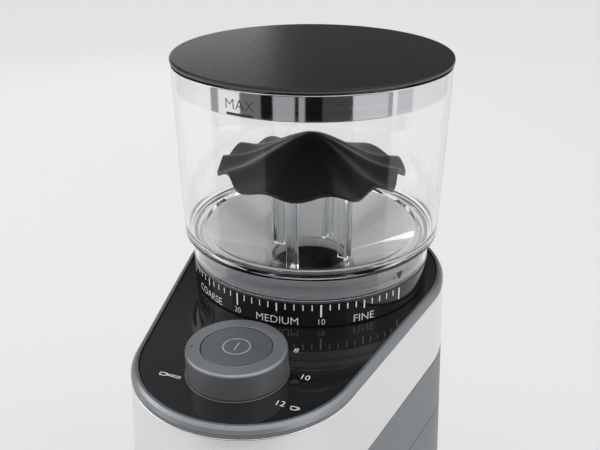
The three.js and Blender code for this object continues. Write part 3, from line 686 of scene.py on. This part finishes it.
def make_cap():
    """A soft fluted umbrella, thin at its rim."""
    around, across = 288, 26
    thick = 1.7
    mesh = bmesh.new()

    def sheet(drop):
        rows = [[vertex(mesh, *HOPPER, CAP_PEAK - drop)]]
        for ring in range(1, across + 1):
            t = ring / across
            row = []
            for i in range(around):
                angle = math.tau * i / around
                radius = CAP_R * t * (1 + 0.025 * t * math.cos(CAP_FLUTES * angle + 0.5 + math.pi))
                radius -= drop * 0.25 * t ** 6
                x, y = HOPPER[0] + radius * math.cos(angle), HOPPER[1] + radius * math.sin(angle)
                row.append(vertex(mesh, x, y, cap_height(t, angle) - drop))
            rows.append(row)
        return rows

    upper, lower = sheet(0), sheet(thick)
    stitch(mesh, upper, False)
    stitch(mesh, lower, False)
    stitch(mesh, [upper[-1], lower[-1]], False)
    place("soft_cap", tidy(mesh), "soft_black", "hopper", ["bean_guard_cap"], sharp=60)


# ---- printed marks

BEND_STEP = 0.7  # a bent mark is cut at this pitch
THIN = 0.02  # half a mark's thickness
BENT_LIFT, FLAT_LIFT = 0.05, 0.04  # a mark's middle stands this far off the wall or the deck


def flat_text(text, height):
    """Generic lettering as a flat mesh, its cap height as given, in millimetres, standing in the XY plane."""
    curve = bpy.data.curves.new("lettering", "FONT")
    curve.body = text
    curve.align_x = "CENTER"
    curve.align_y = "CENTER"
    curve.size = height / 0.7
    curve.extrude = THIN
    curve.offset = -0.022 * height
    curve.resolution_u = 6
    source = bpy.data.objects.new("lettering", curve)
    bpy.context.scene.collection.objects.link(source)
    graph = bpy.context.evaluated_depsgraph_get()
    data = bpy.data.meshes.new_from_object(source.evaluated_get(graph))
    bpy.data.objects.remove(source)
    mesh = bmesh.new()
    mesh.from_mesh(data)
    bpy.data.meshes.remove(data)
    bmesh.ops.remove_doubles(mesh, verts=mesh.verts, dist=1e-5)
    bmesh.ops.triangulate(mesh, faces=mesh.faces)
    return mesh


def flat_polygon(points):
    mesh = bmesh.new()
    low = [mesh.verts.new((x, y, -THIN)) for x, y in points]
    high = [mesh.verts.new((x, y, THIN)) for x, y in points]
    mesh.faces.new(low)
    mesh.faces.new(high)
    stitch(mesh, [low, high], False)
    return facing_out(mesh)


def flat_stroke(points, width, closed=False):
    """A line of even width along points in the XY plane."""
    mesh = bmesh.new()
    count = len(points)
    rows = []
    for i, point in enumerate(points):
        here = Vector(point)
        ahead = Vector(points[(i + 1) % count] if closed or i + 1 < count else point)
        behind = Vector(points[i - 1] if closed or i else point)
        along = (ahead - behind).normalized()
        side = Vector((-along.y, along.x)) * width / 2
        section = ((here - side, -THIN), (here + side, -THIN), (here + side, THIN), (here - side, THIN))
        rows.append([mesh.verts.new((*spot, z)) for spot, z in section])
    stitch(mesh, rows, closed)
    if not closed:
        mesh.faces.new(rows[0])
        mesh.faces.new(rows[-1])
    return facing_out(mesh)


def flat_bar(x0, x1, y0, y1):
    """A thin flat bar in the XY plane, in short lengths so that it can bend."""
    steps = max(1, round((x1 - x0) / 1.5))
    return flat_stroke([(x0 + (x1 - x0) * i / steps, (y0 + y1) / 2) for i in range(steps + 1)], y1 - y0)


def on_cylinder(mesh, radius, degrees, z):
    """Bends a flat mark round the hopper's axis. degrees run from the front towards the right."""
    taper = HOPPER_TAPER if z > SHOULDER_Z else 0
    left = min(vert.co.x for vert in mesh.verts)
    width = max(vert.co.x for vert in mesh.verts) - left
    for step in range(1, int(width / BEND_STEP) + 1):
        everything = list(mesh.verts) + list(mesh.edges) + list(mesh.faces)
        cut = (left + step * BEND_STEP, 0, 0)
        bmesh.ops.bisect_plane(mesh, geom=everything, plane_co=cut, plane_no=(1, 0, 0))
    for vert in mesh.verts:
        angle = math.radians(degrees) + vert.co.x / radius
        reach = radius + BENT_LIFT + vert.co.z + vert.co.y * taper
        x, y = HOPPER[0] + reach * math.sin(angle), HOPPER[1] - reach * math.cos(angle)
        vert.co = Vector((x, y, z + vert.co.y)) * MM
    return mesh


def on_flat(mesh, x, y, z):
    for vert in mesh.verts:
        vert.co = Vector((x + vert.co.x, y + vert.co.y, z + FLAT_LIFT + vert.co.z)) * MM
    return mesh


TICK_PITCH = 3.94  # degrees
LAST_TICK = 30
TICKS = [(6.4, 0.75), (4.3, 0.6), (3.0, 0.45)]  # length and width at tens, at fives and between
RING_WORDS = [("COARSE", 25, 4.0), ("20", 20, 2.9), ("MEDIUM", 15, 4.0), ("10", 10, 2.9), ("FINE", 5, 4.0)]
DIAL_NUMBERS = [("4", -140), ("6", 180), ("8", 140), ("10", 99), ("12", 58.5)]
MIDDLE_TICK = 15
MIDDLE_ANGLE = 3.0
TICK_TOP = RING_TOP - 1.1


def tick_angle(tick):
    return MIDDLE_ANGLE + (MIDDLE_TICK - tick) * TICK_PITCH


def make_ring_marks():
    marks = []
    for tick in range(LAST_TICK + 1):
        length, width = TICKS[0] if tick % 10 == 0 else TICKS[1] if tick % 5 == 0 else TICKS[2]
        bar = flat_bar(-width / 2, width / 2, -length, 0)
        marks.append(on_cylinder(bar, RING_R, tick_angle(tick), TICK_TOP))
    for text, tick, height in RING_WORDS:
        marks.append(on_cylinder(flat_text(text, height), RING_R, tick_angle(tick), DECK_Z + 3.0))
    place("ring_marks", combined(*marks), "white_print", "housing")


MAX_ANGLE = -8.7
MAX_Z = 391
MAX_LINE_Z = 387.1
POINTER_Z = 303.2


def make_hopper_marks():
    """Fill limit on the wall, and the pointer and dot on the skirt."""
    marks = [
        on_cylinder(flat_text("MAX", 4.7), wall_radius(MAX_Z - 1), MAX_ANGLE, MAX_Z),
        on_cylinder(flat_bar(-6.4, 6.4, -0.55, 0.55), wall_radius(MAX_LINE_Z - 0.1), MAX_ANGLE, MAX_LINE_Z),
        on_cylinder(flat_polygon([(-2.5, 2.1), (2.5, 2.1), (0, -2.1)]), SKIRT_R, tick_angle(0), POINTER_Z),
        on_cylinder(flat_polygon(arc(0, 0, 0.5, 0, math.tau, 12)[:-1]), SKIRT_R, tick_angle(0) - 3.6,
                    POINTER_Z - 0.2),
    ]
    printed = place("hopper_marks", combined(*marks), "grey_print", "hopper")
    printed.visible_transmission = False


LEGEND_R = 29.3
LEGEND_H = 3.3


def legend_spot(degrees, radius=LEGEND_R):
    """A place round the knob. degrees run from the front towards the right."""
    angle = math.radians(degrees)
    return KNOB[0] + radius * math.sin(angle), KNOB[1] - radius * math.cos(angle)


def strokes(spot, *lines):
    """Printed lines round a spot on the deck, each of points, a width and whether it closes."""
    return [on_flat(flat_stroke(points, width, closed), *spot, DECK_Z) for points, width, closed in lines]


def cup_marks(spot):
    bowl = [(-1.5, 1.0), (-1.35, -0.5), (-0.9, -1.05), (0.7, -1.05), (1.2, -0.5), (1.35, 1.0)]
    handle = arc(1.45, 0.15, 0.7, -math.pi / 2, math.pi / 2, 8)
    return strokes(spot, (bowl, 0.32, True), (handle, 0.3, False))


def filter_holder_marks(spot):
    basket = rounded([(-4.9, 0.9), (-4.7, -0.9), (-1.9, -0.9), (-1.7, 0.9)], 0.3, 3)
    grip = rounded([(-1.6, 0.45), (-1.6, -0.25), (4.8, -0.9), (4.9, 0.35)], 0.25, 3)
    return strokes(spot, (basket, 0.3, True), (grip, 0.3, True))


def make_deck_marks():
    marks = []
    for text, degrees in DIAL_NUMBERS:
        marks.append(on_flat(flat_text(text, LEGEND_H), *legend_spot(degrees), DECK_Z))
    marks += cup_marks(legend_spot(62.5, 35.4))
    marks += filter_holder_marks(legend_spot(-64.5, 28.6))
    place("deck_marks", combined(*marks), "white_print", "housing")


# ---- deck, ring and knob

RING_BORE = 57.4
WELL_R = 44.4
CUP_IN, CUP_OUT = 38, 43.4
CUP_FLOOR_Z = 266.6
DECK_HOLE_R = 44
STEM_HOLE_R = 7.8


def make_scale_ring():
    bottom = DECK_Z + 0.3
    radius = RING_R - INSIDE / 2
    profile = [
        (RING_BORE, bottom), (radius - 0.3, bottom), (radius, bottom + 0.4), (radius, RING_TOP),
        (RING_BORE, RING_TOP),
    ]
    place("grind_scale_ring", lathe(rounded(profile, [0, 0.2, 0.2, 0.7, 0.3], 5), segments=192),
          "gloss_black", "housing", ["scale_ring"])
    well = [
        (WELL_R, bottom + 3), (RING_BORE - 0.1, bottom + 3), (RING_BORE - 0.1, RING_TOP - 3),
        (50, RING_TOP - 3.4), (WELL_R, RING_TOP - 5),
    ]
    place("ring_well", lathe(rounded(well, [0.4, 0.2, 0.3, 4, 0.6], 5), segments=128), "pale_plastic",
          "housing")


def make_adjuster():
    """The turning carrier under the hopper: a pale cup round the throat."""
    low, high = low_high("grind_adjuster")
    cup = [(CUP_IN, CUP_FLOOR_Z), (CUP_OUT, CUP_FLOOR_Z), (CUP_OUT, high.z), (CUP_IN, high.z)]
    place("adjuster_cup", lathe(rounded(cup, [0.3, 0.5, 0.8, 0.8], 4), segments=128),
          "pale_plastic", "adjuster", ["grind_adjuster"])
    web = [
        (21.6, 262.3), (33.3, 262.3), (33.3, low.z), (36.6, low.z), (36.6, 266.4), (37.9, 266.4),
        (37.9, 271), (21.6, 271),
    ]
    place("adjuster_web", lathe(rounded(web, 0.3, 3), segments=128), "dark_plastic", "adjuster")


def make_deck():
    edge = 0.35
    plan = outline(-0.3)
    plate = place("deck_glass", slab(plan, DECK_Z - 3, DECK_Z, edge), "gloss_black", "housing",
                  ["deck_plate"])
    for radius, centre, segments in ((DECK_HOLE_R, HOPPER, 128), (STEM_HOLE_R, KNOB, 48)):
        low, high = DECK_Z - 5, DECK_Z + 5
        cut(plate, lathe([(0, low), (radius, low), (radius, high), (0, high)], centre, segments))


TRIM_LIP = 280.5  # the frame's lower edge, where the steel begins


def make_trim():
    width = TRIM_W - INSIDE
    top = DECK_Z + 0.6
    corners = [
        (-4, 279.4), (0, TRIM_BOTTOM), (0.5, TRIM_BOTTOM), (1, TRIM_LIP), (width, TRIM_LIP), (width, 282.0),
        (width - 1.0, 283.8), (1.3, top), (0.1, top), (0, DECK_Z - 3.4), (-4, DECK_Z - 3.4),
    ]
    place("trim_frame", belt(rounded(corners, [0, 0, 0.1, 0.1, 0.35, 1.0, 0.6, 0.3, 0.12, 0, 0], 5)),
          "gunmetal", "housing", ["deck_trim"])


KNOB_BORE = 7.4
KNOB_FOOT_Z = 285
KNOB_STEP_Z = 288
BUTTON_UNDERSIDE = 293.4


def make_knob():
    radius = KNOB_R
    gap = BUTTON_R + 0.3
    corners = [
        (KNOB_BORE, KNOB_FOOT_Z), (radius, KNOB_FOOT_Z), (radius, KNOB_TOP), (gap, KNOB_TOP),
        (gap, KNOB_STEP_Z), (KNOB_BORE, KNOB_STEP_Z),
    ]
    place("knob_shell", lathe(rounded(corners, [0.2, 0.5, 1.5, 0.25, 0.3, 0.2], 8), KNOB, 160),
          "knob_metal", "knob", ["knob_ring"])
    foot = [
        (12, DECK_Z + 0.02), (radius + 0.7, DECK_Z + 0.02), (radius + 0.7, DECK_Z + 0.35),
        (12, DECK_Z + 0.35),
    ]
    place("knob_foot_ring", lathe(rounded(foot, [0, 0.1, 0.12, 0], 3), KNOB, 128), "gunmetal", "housing")
    dot = on_flat(flat_polygon(arc(0, 0, 0.55, 0, math.tau, 20)[:-1]), *legend_spot(-71, 18.9), KNOB_TOP)
    place("knob_pointer", dot, "rubber", "knob")


def make_button():
    low, high = low_high("start_button")
    corners = [
        (0, low.z), (3.4, low.z), (3.4, 272), (4.4, 274), (4.4, BUTTON_UNDERSIDE),
        (BUTTON_R, BUTTON_UNDERSIDE), (BUTTON_R, high.z), (0, high.z),
    ]
    place("button_cap", lathe(rounded(corners, [0, 0.3, 0.3, 0.3, 0.5, 0.3, 0.45, 0], 6), KNOB, 144),
          "button_face", "button", ["start_button"])
    symbol = [
        on_flat(flat_stroke(arc(0, 0, 5.8, 0, math.tau, 72)[:-1], 0.55, closed=True), *KNOB, high.z),
        on_flat(flat_stroke([(0, -2.9), (0, 2.9)], 0.6), *KNOB, high.z),
    ]
    place("button_symbol", combined(*symbol), "ring_print", "button")


WIRE = 0.35
SPRING_TURNS = 2.5


def make_button_spring():
    """The light coil under the button."""
    low, high = low_high("button_spring")
    middle_x, middle_y = axis_of("button_spring")
    radius = (high.x - low.x) / 2 - WIRE - INSIDE
    steps = round(SPRING_TURNS * 36)
    loops = []
    for i in range(steps + 1):
        angle = math.tau * SPRING_TURNS * i / steps
        z = low.z + WIRE + (high.z - low.z - 2 * WIRE) * i / steps
        ring = []
        for across, up in arc(0, 0, WIRE, 0, math.tau, 10)[:-1]:
            reach = radius + across
            ring.append((middle_x + reach * math.cos(angle), middle_y + reach * math.sin(angle), z + up))
        loops.append(ring)
    coil = place("button_coil", loft(loops), "machined_steel", "housing", ["button_spring"], sharp=60)
    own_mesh(coil)


# ---- body, base and bin

def make_head():
    place("steel_wrap", belt(wall_profile(HEAD_BOTTOM, TRIM_LIP - 0.3, 1.2, 0.35)), "brushed_steel",
          "housing", ["steel_head"])
    liner = wall_profile(COLLAR_TOP - 12, TRIM_BOTTOM - 0.6, 2.0, 0.2, inset=2.8)
    place("seam_liner", belt(liner), "dark_plastic", "housing")
    place("collar_shell", belt(wall_profile(COLLAR_BOTTOM, COLLAR_TOP, WALL, 0.5)), "grey_plastic", "housing",
          ["grey_collar"])


def window_shell():
    """The main shell as one sheet with the bay's window left out, thickened afterwards."""
    heights = [SHELL_BOTTOM, BAY_FLOOR, BAY_CEILING, SHELL_TOP]
    mesh = bmesh.new()
    rows = []
    for z in heights:
        offset = flare(z)
        lean = math.asin((BACK_R - NOSE_R) / BACK_TO_NOSE)
        back = arc(0, BACK_Y, BACK_R + offset, -lean, math.pi + lean, BACK_STEPS)
        front = front_outline(offset, BAY_FRONT_Y, NOSE_STEPS)
        loop = back + list(reversed(front))
        rows.append([vertex(mesh, x, y, z) for x, y in loop])
    total = len(rows[0])
    for level in range(3):
        for i in range(total):
            is_front = BACK_STEPS < i < total - 1
            if level == 1 and is_front:
                continue
            low, high, following = rows[level], rows[level + 1], (i + 1) % total
            mesh.faces.new((low[i], low[following], high[following], high[i]))
    return tidy(mesh)


def thickened(obj, thickness):
    solid = obj.modifiers.new("thickness", "SOLIDIFY")
    solid.thickness = thickness * MM
    solid.offset = -1
    solid.use_even_offset = True
    bpy.context.view_layer.update()
    settle(obj)


def make_shell():
    shell = place("rear_shell", window_shell(), "grey_plastic", "housing", ["main_housing"])
    thickened(shell, WALL)
    bevelled(shell, 0.5)
    back = BACK_Y + BACK_R + 20
    low, high = low_high("cord_inlet")
    cut(shell, box_mesh((low.x - 0.3, back - 40, low.z - 0.3), (high.x + 0.3, back, high.z + 0.3)))


def make_bay():
    """Ceiling and floor plates and the pocket behind, seen when the bin is out."""
    plates = []
    for low, high in ((BAY_FLOOR - WALL, BAY_FLOOR), (BAY_CEILING, BAY_CEILING + WALL)):
        offset = flare(high) - WALL + 0.3
        plates.append(slab(front_outline(offset, BAY_FRONT_Y), low, high))
        plates.append(box_mesh((-POCKET - 3, BAY_FRONT_Y, low), (POCKET + 3, BAY_BACK_Y + WALL, high)))
    back = (POCKET + 3, BAY_BACK_Y + WALL, BAY_CEILING)
    plates.append(box_mesh((-POCKET - 3, BAY_BACK_Y, BAY_FLOOR), back))
    for side in (-1, 1):
        inner, outer = side * POCKET, side * (POCKET + WALL)
        plates.append(box_mesh((min(inner, outer), BAY_FRONT_Y, BAY_FLOOR),
                               (max(inner, outer), BAY_BACK_Y, BAY_CEILING)))
        edge = side * (BACK_R - 1.5)
        plates.append(box_mesh((min(inner, edge), BAY_FRONT_Y - 0.01, BAY_FLOOR),
                               (max(inner, edge), BAY_FRONT_Y + WALL, BAY_CEILING)))
    bay = place("bay_liner", combined(*plates), "dark_plastic", "housing")
    chute_low, chute_high = low_high("chute_seal")
    cut(bay, box_mesh((-14, chute_low.y + 2, BAY_CEILING - 2), (14, chute_high.y - 2, BAY_CEILING + 6)))


def make_base():
    corners = [
        (flare(PLINTH_BOTTOM) - WALL, PLINTH_BOTTOM), (flare(PLINTH_BOTTOM), PLINTH_BOTTOM),
        (flare(PLINTH_TOP), PLINTH_TOP), (flare(PLINTH_TOP) - WALL, PLINTH_TOP),
    ]
    place("plinth_skirt", belt(rounded(corners, [0.2, 1.6, 0.5, 0.2], 6)), "dark_plastic", "housing",
          ["plinth"])
    liner = wall_profile(PLINTH_TOP - 6, SHELL_BOTTOM + 6, 2.0, 0.2, inset=2.9)
    place("base_seam_liner", belt(liner), "dark_plastic", "housing")
    for index in range(1, 5):
        low, high = low_high(f"foot_{index}")
        centre = axis_of(f"foot_{index}")
        radius = (high.x - low.x) / 2
        pad = [(0, low.z), (radius, low.z), (radius, high.z), (0, high.z)]
        place(f"foot_pad_{index}", lathe(rounded(pad, [0, 0.8, 0.2, 0], 5), centre, 64), "rubber", "housing",
              [f"foot_{index}"])


def bin_plan(z, inset):
    """Plan of the bin at a height: the body's own curve in front, a narrower pocket behind."""
    front = front_outline(flare(z) - BIN_GAP - inset, BIN_FRONT_Y - inset)
    pocket, back = BIN_POCKET - inset, BIN_BACK_Y - inset
    rear = [(-pocket, BIN_FRONT_Y - inset), (-pocket, back), (pocket, back), (pocket, BIN_FRONT_Y - inset)]
    corners = rounded([front[-1]] + rear + [front[0]], [1.2, 1.2, 3, 3, 1.2, 1.2], 4)
    return front[1:-1] + corners


GRIPS = 3
LOWEST_GRIP = 128
GRIP_PITCH = 9


def make_bin():
    wall = 2.4
    z0, z1 = BIN_BOTTOM, BIN_TOP
    rows = [
        (z0, z0, 1.2), (z0, z0 + 0.4, 0.4), (z0, z0 + 1.2, 0), (z1, z1 - 0.4, 0), (z1, z1, 0.4),
        (z1, z1, wall - 0.4), (z1, z1 - 0.4, wall), (z0, z0 + wall + 1.5, wall),
        (z0, z0 + wall, wall + 1.5),
    ]
    loops = [[(x, y, z) for x, y in bin_plan(plan, inset)] for plan, z, inset in rows]
    place("bin_vessel", loft(loops), "smoked_plastic", "bin", ["grounds_bin"])
    make_bin_grips()


def make_bin_grips():
    """Raised ribs on each side of the bin, to pull it by."""
    pieces = []
    for index in range(GRIPS):
        z = LOWEST_GRIP + index * GRIP_PITCH
        offset = flare(z) - BIN_GAP
        low, high = offset - 0.3, offset + 0.7
        corners = [(low, z - 1.5), (high, z - 1.1), (high, z + 1.1), (low, z + 1.5)]
        rib = front_belt(rounded(corners, 0.5, 3), -24)
        doomed = [v for v in rib.verts if v.co.y < -52 * MM]
        bmesh.ops.delete(rib, geom=doomed, context="VERTS")
        bmesh.ops.holes_fill(rib, edges=rib.edges)
        pieces.append(tidy(rib))
    place("bin_grips", combined(*pieces), "smoked_plastic", "bin")


def make_bin_lid():
    z0, z1 = low_high("bin_lid")[0].z, BIN_LID_TOP
    outer = flare(z0) - BIN_GAP
    inner, ledge = outer - 14, z0 + 5.7
    corners = [(inner, z0), (outer, z0), (outer, z1), (outer - 3, z1), (outer - 3, ledge), (inner, ledge)]
    profile = rounded(corners, [0, 0.5, 0.7, 0.4, 0.3, 0], 4)
    rim = front_belt(profile, BIN_FRONT_Y)
    lid = place("bin_lid_rim", rim, "dark_plastic", "bin", ["bin_lid"])
    middle = slab(rounded(bin_lid_middle(outer - 13), 0, 1), z0, z0 + 5.7)
    cut(lid, middle, "UNION")
    seal_low, seal_high = low_high("chute_seal")
    cut(lid, box_mesh((-17, seal_low.y - 0.6, z0 - 2), (17, seal_high.y + 0.6, z0 + 9)))


def bin_lid_middle(offset):
    front = front_outline(offset, BIN_FRONT_Y)
    rear = [(-BIN_POCKET, BIN_BACK_Y), (BIN_POCKET, BIN_BACK_Y)]
    return front + [(-BIN_POCKET, BIN_FRONT_Y)] + rear + [(BIN_POCKET, BIN_FRONT_Y)]


# ---- studio

CAMERA_DISTANCE = 379.5  # from the hopper's axis, level
CAMERA_ABOVE_LID = 86.5
CAMERA_SIDE = math.radians(18)  # round to the right of the front
CAMERA_TURN = math.radians(-0.86)
CAMERA_PITCH = math.radians(25.08)


def make_camera():
    away = Vector((-math.sin(CAMERA_SIDE), math.cos(CAMERA_SIDE), 0))
    right = Vector((math.cos(CAMERA_SIDE), math.sin(CAMERA_SIDE), 0))
    level = away * math.cos(CAMERA_TURN) + right * math.sin(CAMERA_TURN)
    gaze = level * math.cos(CAMERA_PITCH) - Vector((0, 0, math.sin(CAMERA_PITCH)))
    data = bpy.data.cameras.new("camera")
    data.lens = 48
    data.sensor_width = 36
    data.clip_start = 0.01
    camera = bpy.data.objects.new("camera", data)
    camera.location = (Vector((HOPPER[0], HOPPER[1], TOP + CAMERA_ABOVE_LID)) - away * CAMERA_DISTANCE) * MM
    camera.rotation_euler = gaze.to_track_quat("-Z", "Y").to_euler()
    bpy.context.scene.collection.objects.link(camera)
    bpy.context.scene.camera = camera


def soft_light(name, place_at, aim, size, power):
    data = bpy.data.lights.new(name, "AREA")
    data.shape = "RECTANGLE"
    data.size, data.size_y = size
    data.energy = power
    light = bpy.data.objects.new(name, data)
    light.location = place_at
    light.rotation_euler = (Vector(aim) - Vector(place_at)).to_track_quat("-Z", "Y").to_euler()
    light.visible_camera = False
    bpy.context.scene.collection.objects.link(light)


def ramp(tree, value, stops):
    """A grey ramp. stops are (position, brightness)."""
    made = node(tree, "ValToRGB")
    elements = made.color_ramp.elements
    while len(elements) < len(stops):
        elements.new(0.5)
    for element, (position, brightness) in zip(elements, stops):
        element.position = position
        element.color = (brightness, brightness, brightness, 1)
    tree.links.new(value, made.inputs["Fac"])
    return made.outputs["Color"]


FRONT_SKY = [(0.0, 0.42), (0.5, 0.42), (0.8, 0.75), (0.9, 1.0)]
SIDE_SKY = [(0.0, 0.80), (0.45, 0.75), (0.8, 0.75), (0.9, 1.0)]
BACK_SKY = [
    (0.0, 0.12), (0.2, 0.085), (0.27, 0.025), (0.42, 0.02), (0.54, 0.17), (0.64, 0.15), (0.74, 0.05),
    (0.9, 1.0),
]
SKY_STRENGTH = 1.92


def facing(tree, spot, direction, near, far):
    """How far a direction in the sky is from the given one, 0 to 1, with a soft edge."""
    dot = node(tree, "VectorMath")
    dot.operation = "DOT_PRODUCT"
    dot.inputs[1].default_value = direction
    tree.links.new(spot, dot.inputs[0])
    edge = node(tree, "MapRange", From_Min=near, From_Max=far)
    edge.interpolation_type = "SMOOTHSTEP"
    tree.links.new(dot.outputs["Value"], edge.inputs["Value"])
    return edge.outputs["Result"]


def blended(tree, factor, first, second):
    mix = node(tree, "Mix")
    mix.data_type = "RGBA"
    for socket, value in (("Factor", factor), (6, first), (7, second)):
        tree.links.new(value, mix.inputs[socket])
    return mix.outputs[2]


def make_sky():
    """Bright overhead and at the sides, dark half way up behind, so that the deck stays black."""
    world = bpy.data.worlds.new("studio")
    world.use_nodes = True
    tree = world.node_tree
    spot = node(tree, "TexCoord").outputs["Generated"]
    split = node(tree, "SeparateXYZ")
    tree.links.new(spot, split.inputs["Vector"])
    away = (-math.sin(CAMERA_SIDE), math.cos(CAMERA_SIDE), 0)
    right = (math.cos(CAMERA_SIDE), math.sin(CAMERA_SIDE), 0)
    left = (-right[0], -right[1], 0)
    sky = ramp(tree, split.outputs["Z"], FRONT_SKY)
    side = ramp(tree, split.outputs["Z"], SIDE_SKY)
    for direction in (left, right):
        sky = blended(tree, facing(tree, spot, direction, 0.45, 0.75), sky, side)
    sky = blended(tree, facing(tree, spot, away, 0.25, 0.6), sky, ramp(tree, split.outputs["Z"], BACK_SKY))
    tree.links.new(sky, tree.nodes["Background"].inputs["Color"])
    tree.nodes["Background"].inputs["Strength"].default_value = SKY_STRENGTH
    bpy.context.scene.world = world


CARD_RADIUS = 560
CARD_FOOT_Z = 2
# The clear wall reflects what is below this height, the steel band what is above.
CARD_STEP_Z = 190
CARD_TOP_Z = 380
LOW_CARDS = [(-84, -36, "light_card"), (-36, 19, "card"), (19, 32, "dim_card"), (32, 64, "grey_card")]
HIGH_CARDS = [
    (-56, -38.5, "grey_card"), (-38.5, -29, "card"), (-29, -12.5, "light_card"), (-12.5, -9.5, "card"),
    (-9.5, -5, "light_card"), (-5, 8, "card"), (8, 31, "dim_card"), (31, 60, "pale_card"),
    (60, 64, "light_card"),
    (68, 84, "pale_card"), (-84, -76, "light_card"),
]


def make_cards():
    """Curved cards round the hopper's axis that only reflections see. Degrees start at the camera's side."""
    cards = [(card, CARD_FOOT_Z, CARD_STEP_Z) for card in LOW_CARDS]
    cards += [(card, CARD_STEP_Z, CARD_TOP_Z) for card in HIGH_CARDS]
    for index, ((start, end, finish), z0, z1) in enumerate(cards):
        ends = [CAMERA_SIDE + math.radians(angle) - math.pi / 2 for angle in (start, end)]
        points = arc(*HOPPER, CARD_RADIUS, *ends, 12)
        mesh = bmesh.new()
        low, high = [[vertex(mesh, x, y, z) for x, y in points] for z in (z0, z1)]
        for i in range(len(points) - 1):
            mesh.faces.new((low[i], low[i + 1], high[i + 1], high[i]))
        stage_piece(f"reflection_card_{index}", mesh, finish, True)


def stage_piece(name, mesh, finish, only_reflected=False):
    obj = linked(name, mesh)
    obj.data.materials.append(MATERIALS[finish])
    if only_reflected:
        obj.visible_camera = False
        obj.visible_diffuse = False
        obj.visible_shadow = False
    return obj


FLOOR_RADIUS = 9
WALL_HEIGHT = 7


def make_backdrop():
    """A pale round wall far behind the object, which doesn't shade or light it."""
    mesh = bmesh.new()
    spots = arc(0, 0, FLOOR_RADIUS, 0, math.tau, 96)[:-1]
    rows = [[mesh.verts.new((x, y, z)) for x, y in spots] for z in (0, WALL_HEIGHT)]
    stitch(mesh, rows, False)
    wall = stage_piece("studio_wall", mesh, "backdrop")
    wall.visible_diffuse = False
    wall.visible_glossy = False
    wall.visible_shadow = False


def make_studio():
    mesh = bmesh.new()
    bmesh.ops.create_circle(mesh, cap_ends=True, radius=FLOOR_RADIUS, segments=96)
    stage_piece("studio_floor", mesh, "floor")
    make_backdrop()
    make_sky()
    make_cards()
    middle = (0, 0, 0.3)
    soft_light("left_front_box", (-1.45, -0.35, 0.9), middle, (0.7, 0.9), 3.8)
    soft_light("right_front_box", (1.45, -0.55, 0.9), middle, (0.9, 1.0), 3)
    soft_light("back_left_box", (-0.95, 1.5, 0.6), middle, (0.7, 0.2), 1.0)
    bpy.context.scene.view_settings.view_transform = "Standard"


# ---- everything

make_camera()
make_studio()
paint_cad_nodes()
make_lid()
make_hopper()
make_funnel_liner()
make_guard_posts()
make_cap()
make_scale_ring()
make_adjuster()
make_ring_marks()
make_hopper_marks()
make_deck()
make_trim()
make_deck_marks()
make_knob()
make_button()
make_button_spring()
make_head()
make_shell()
make_bay()
make_base()
make_bin()
make_bin_lid()
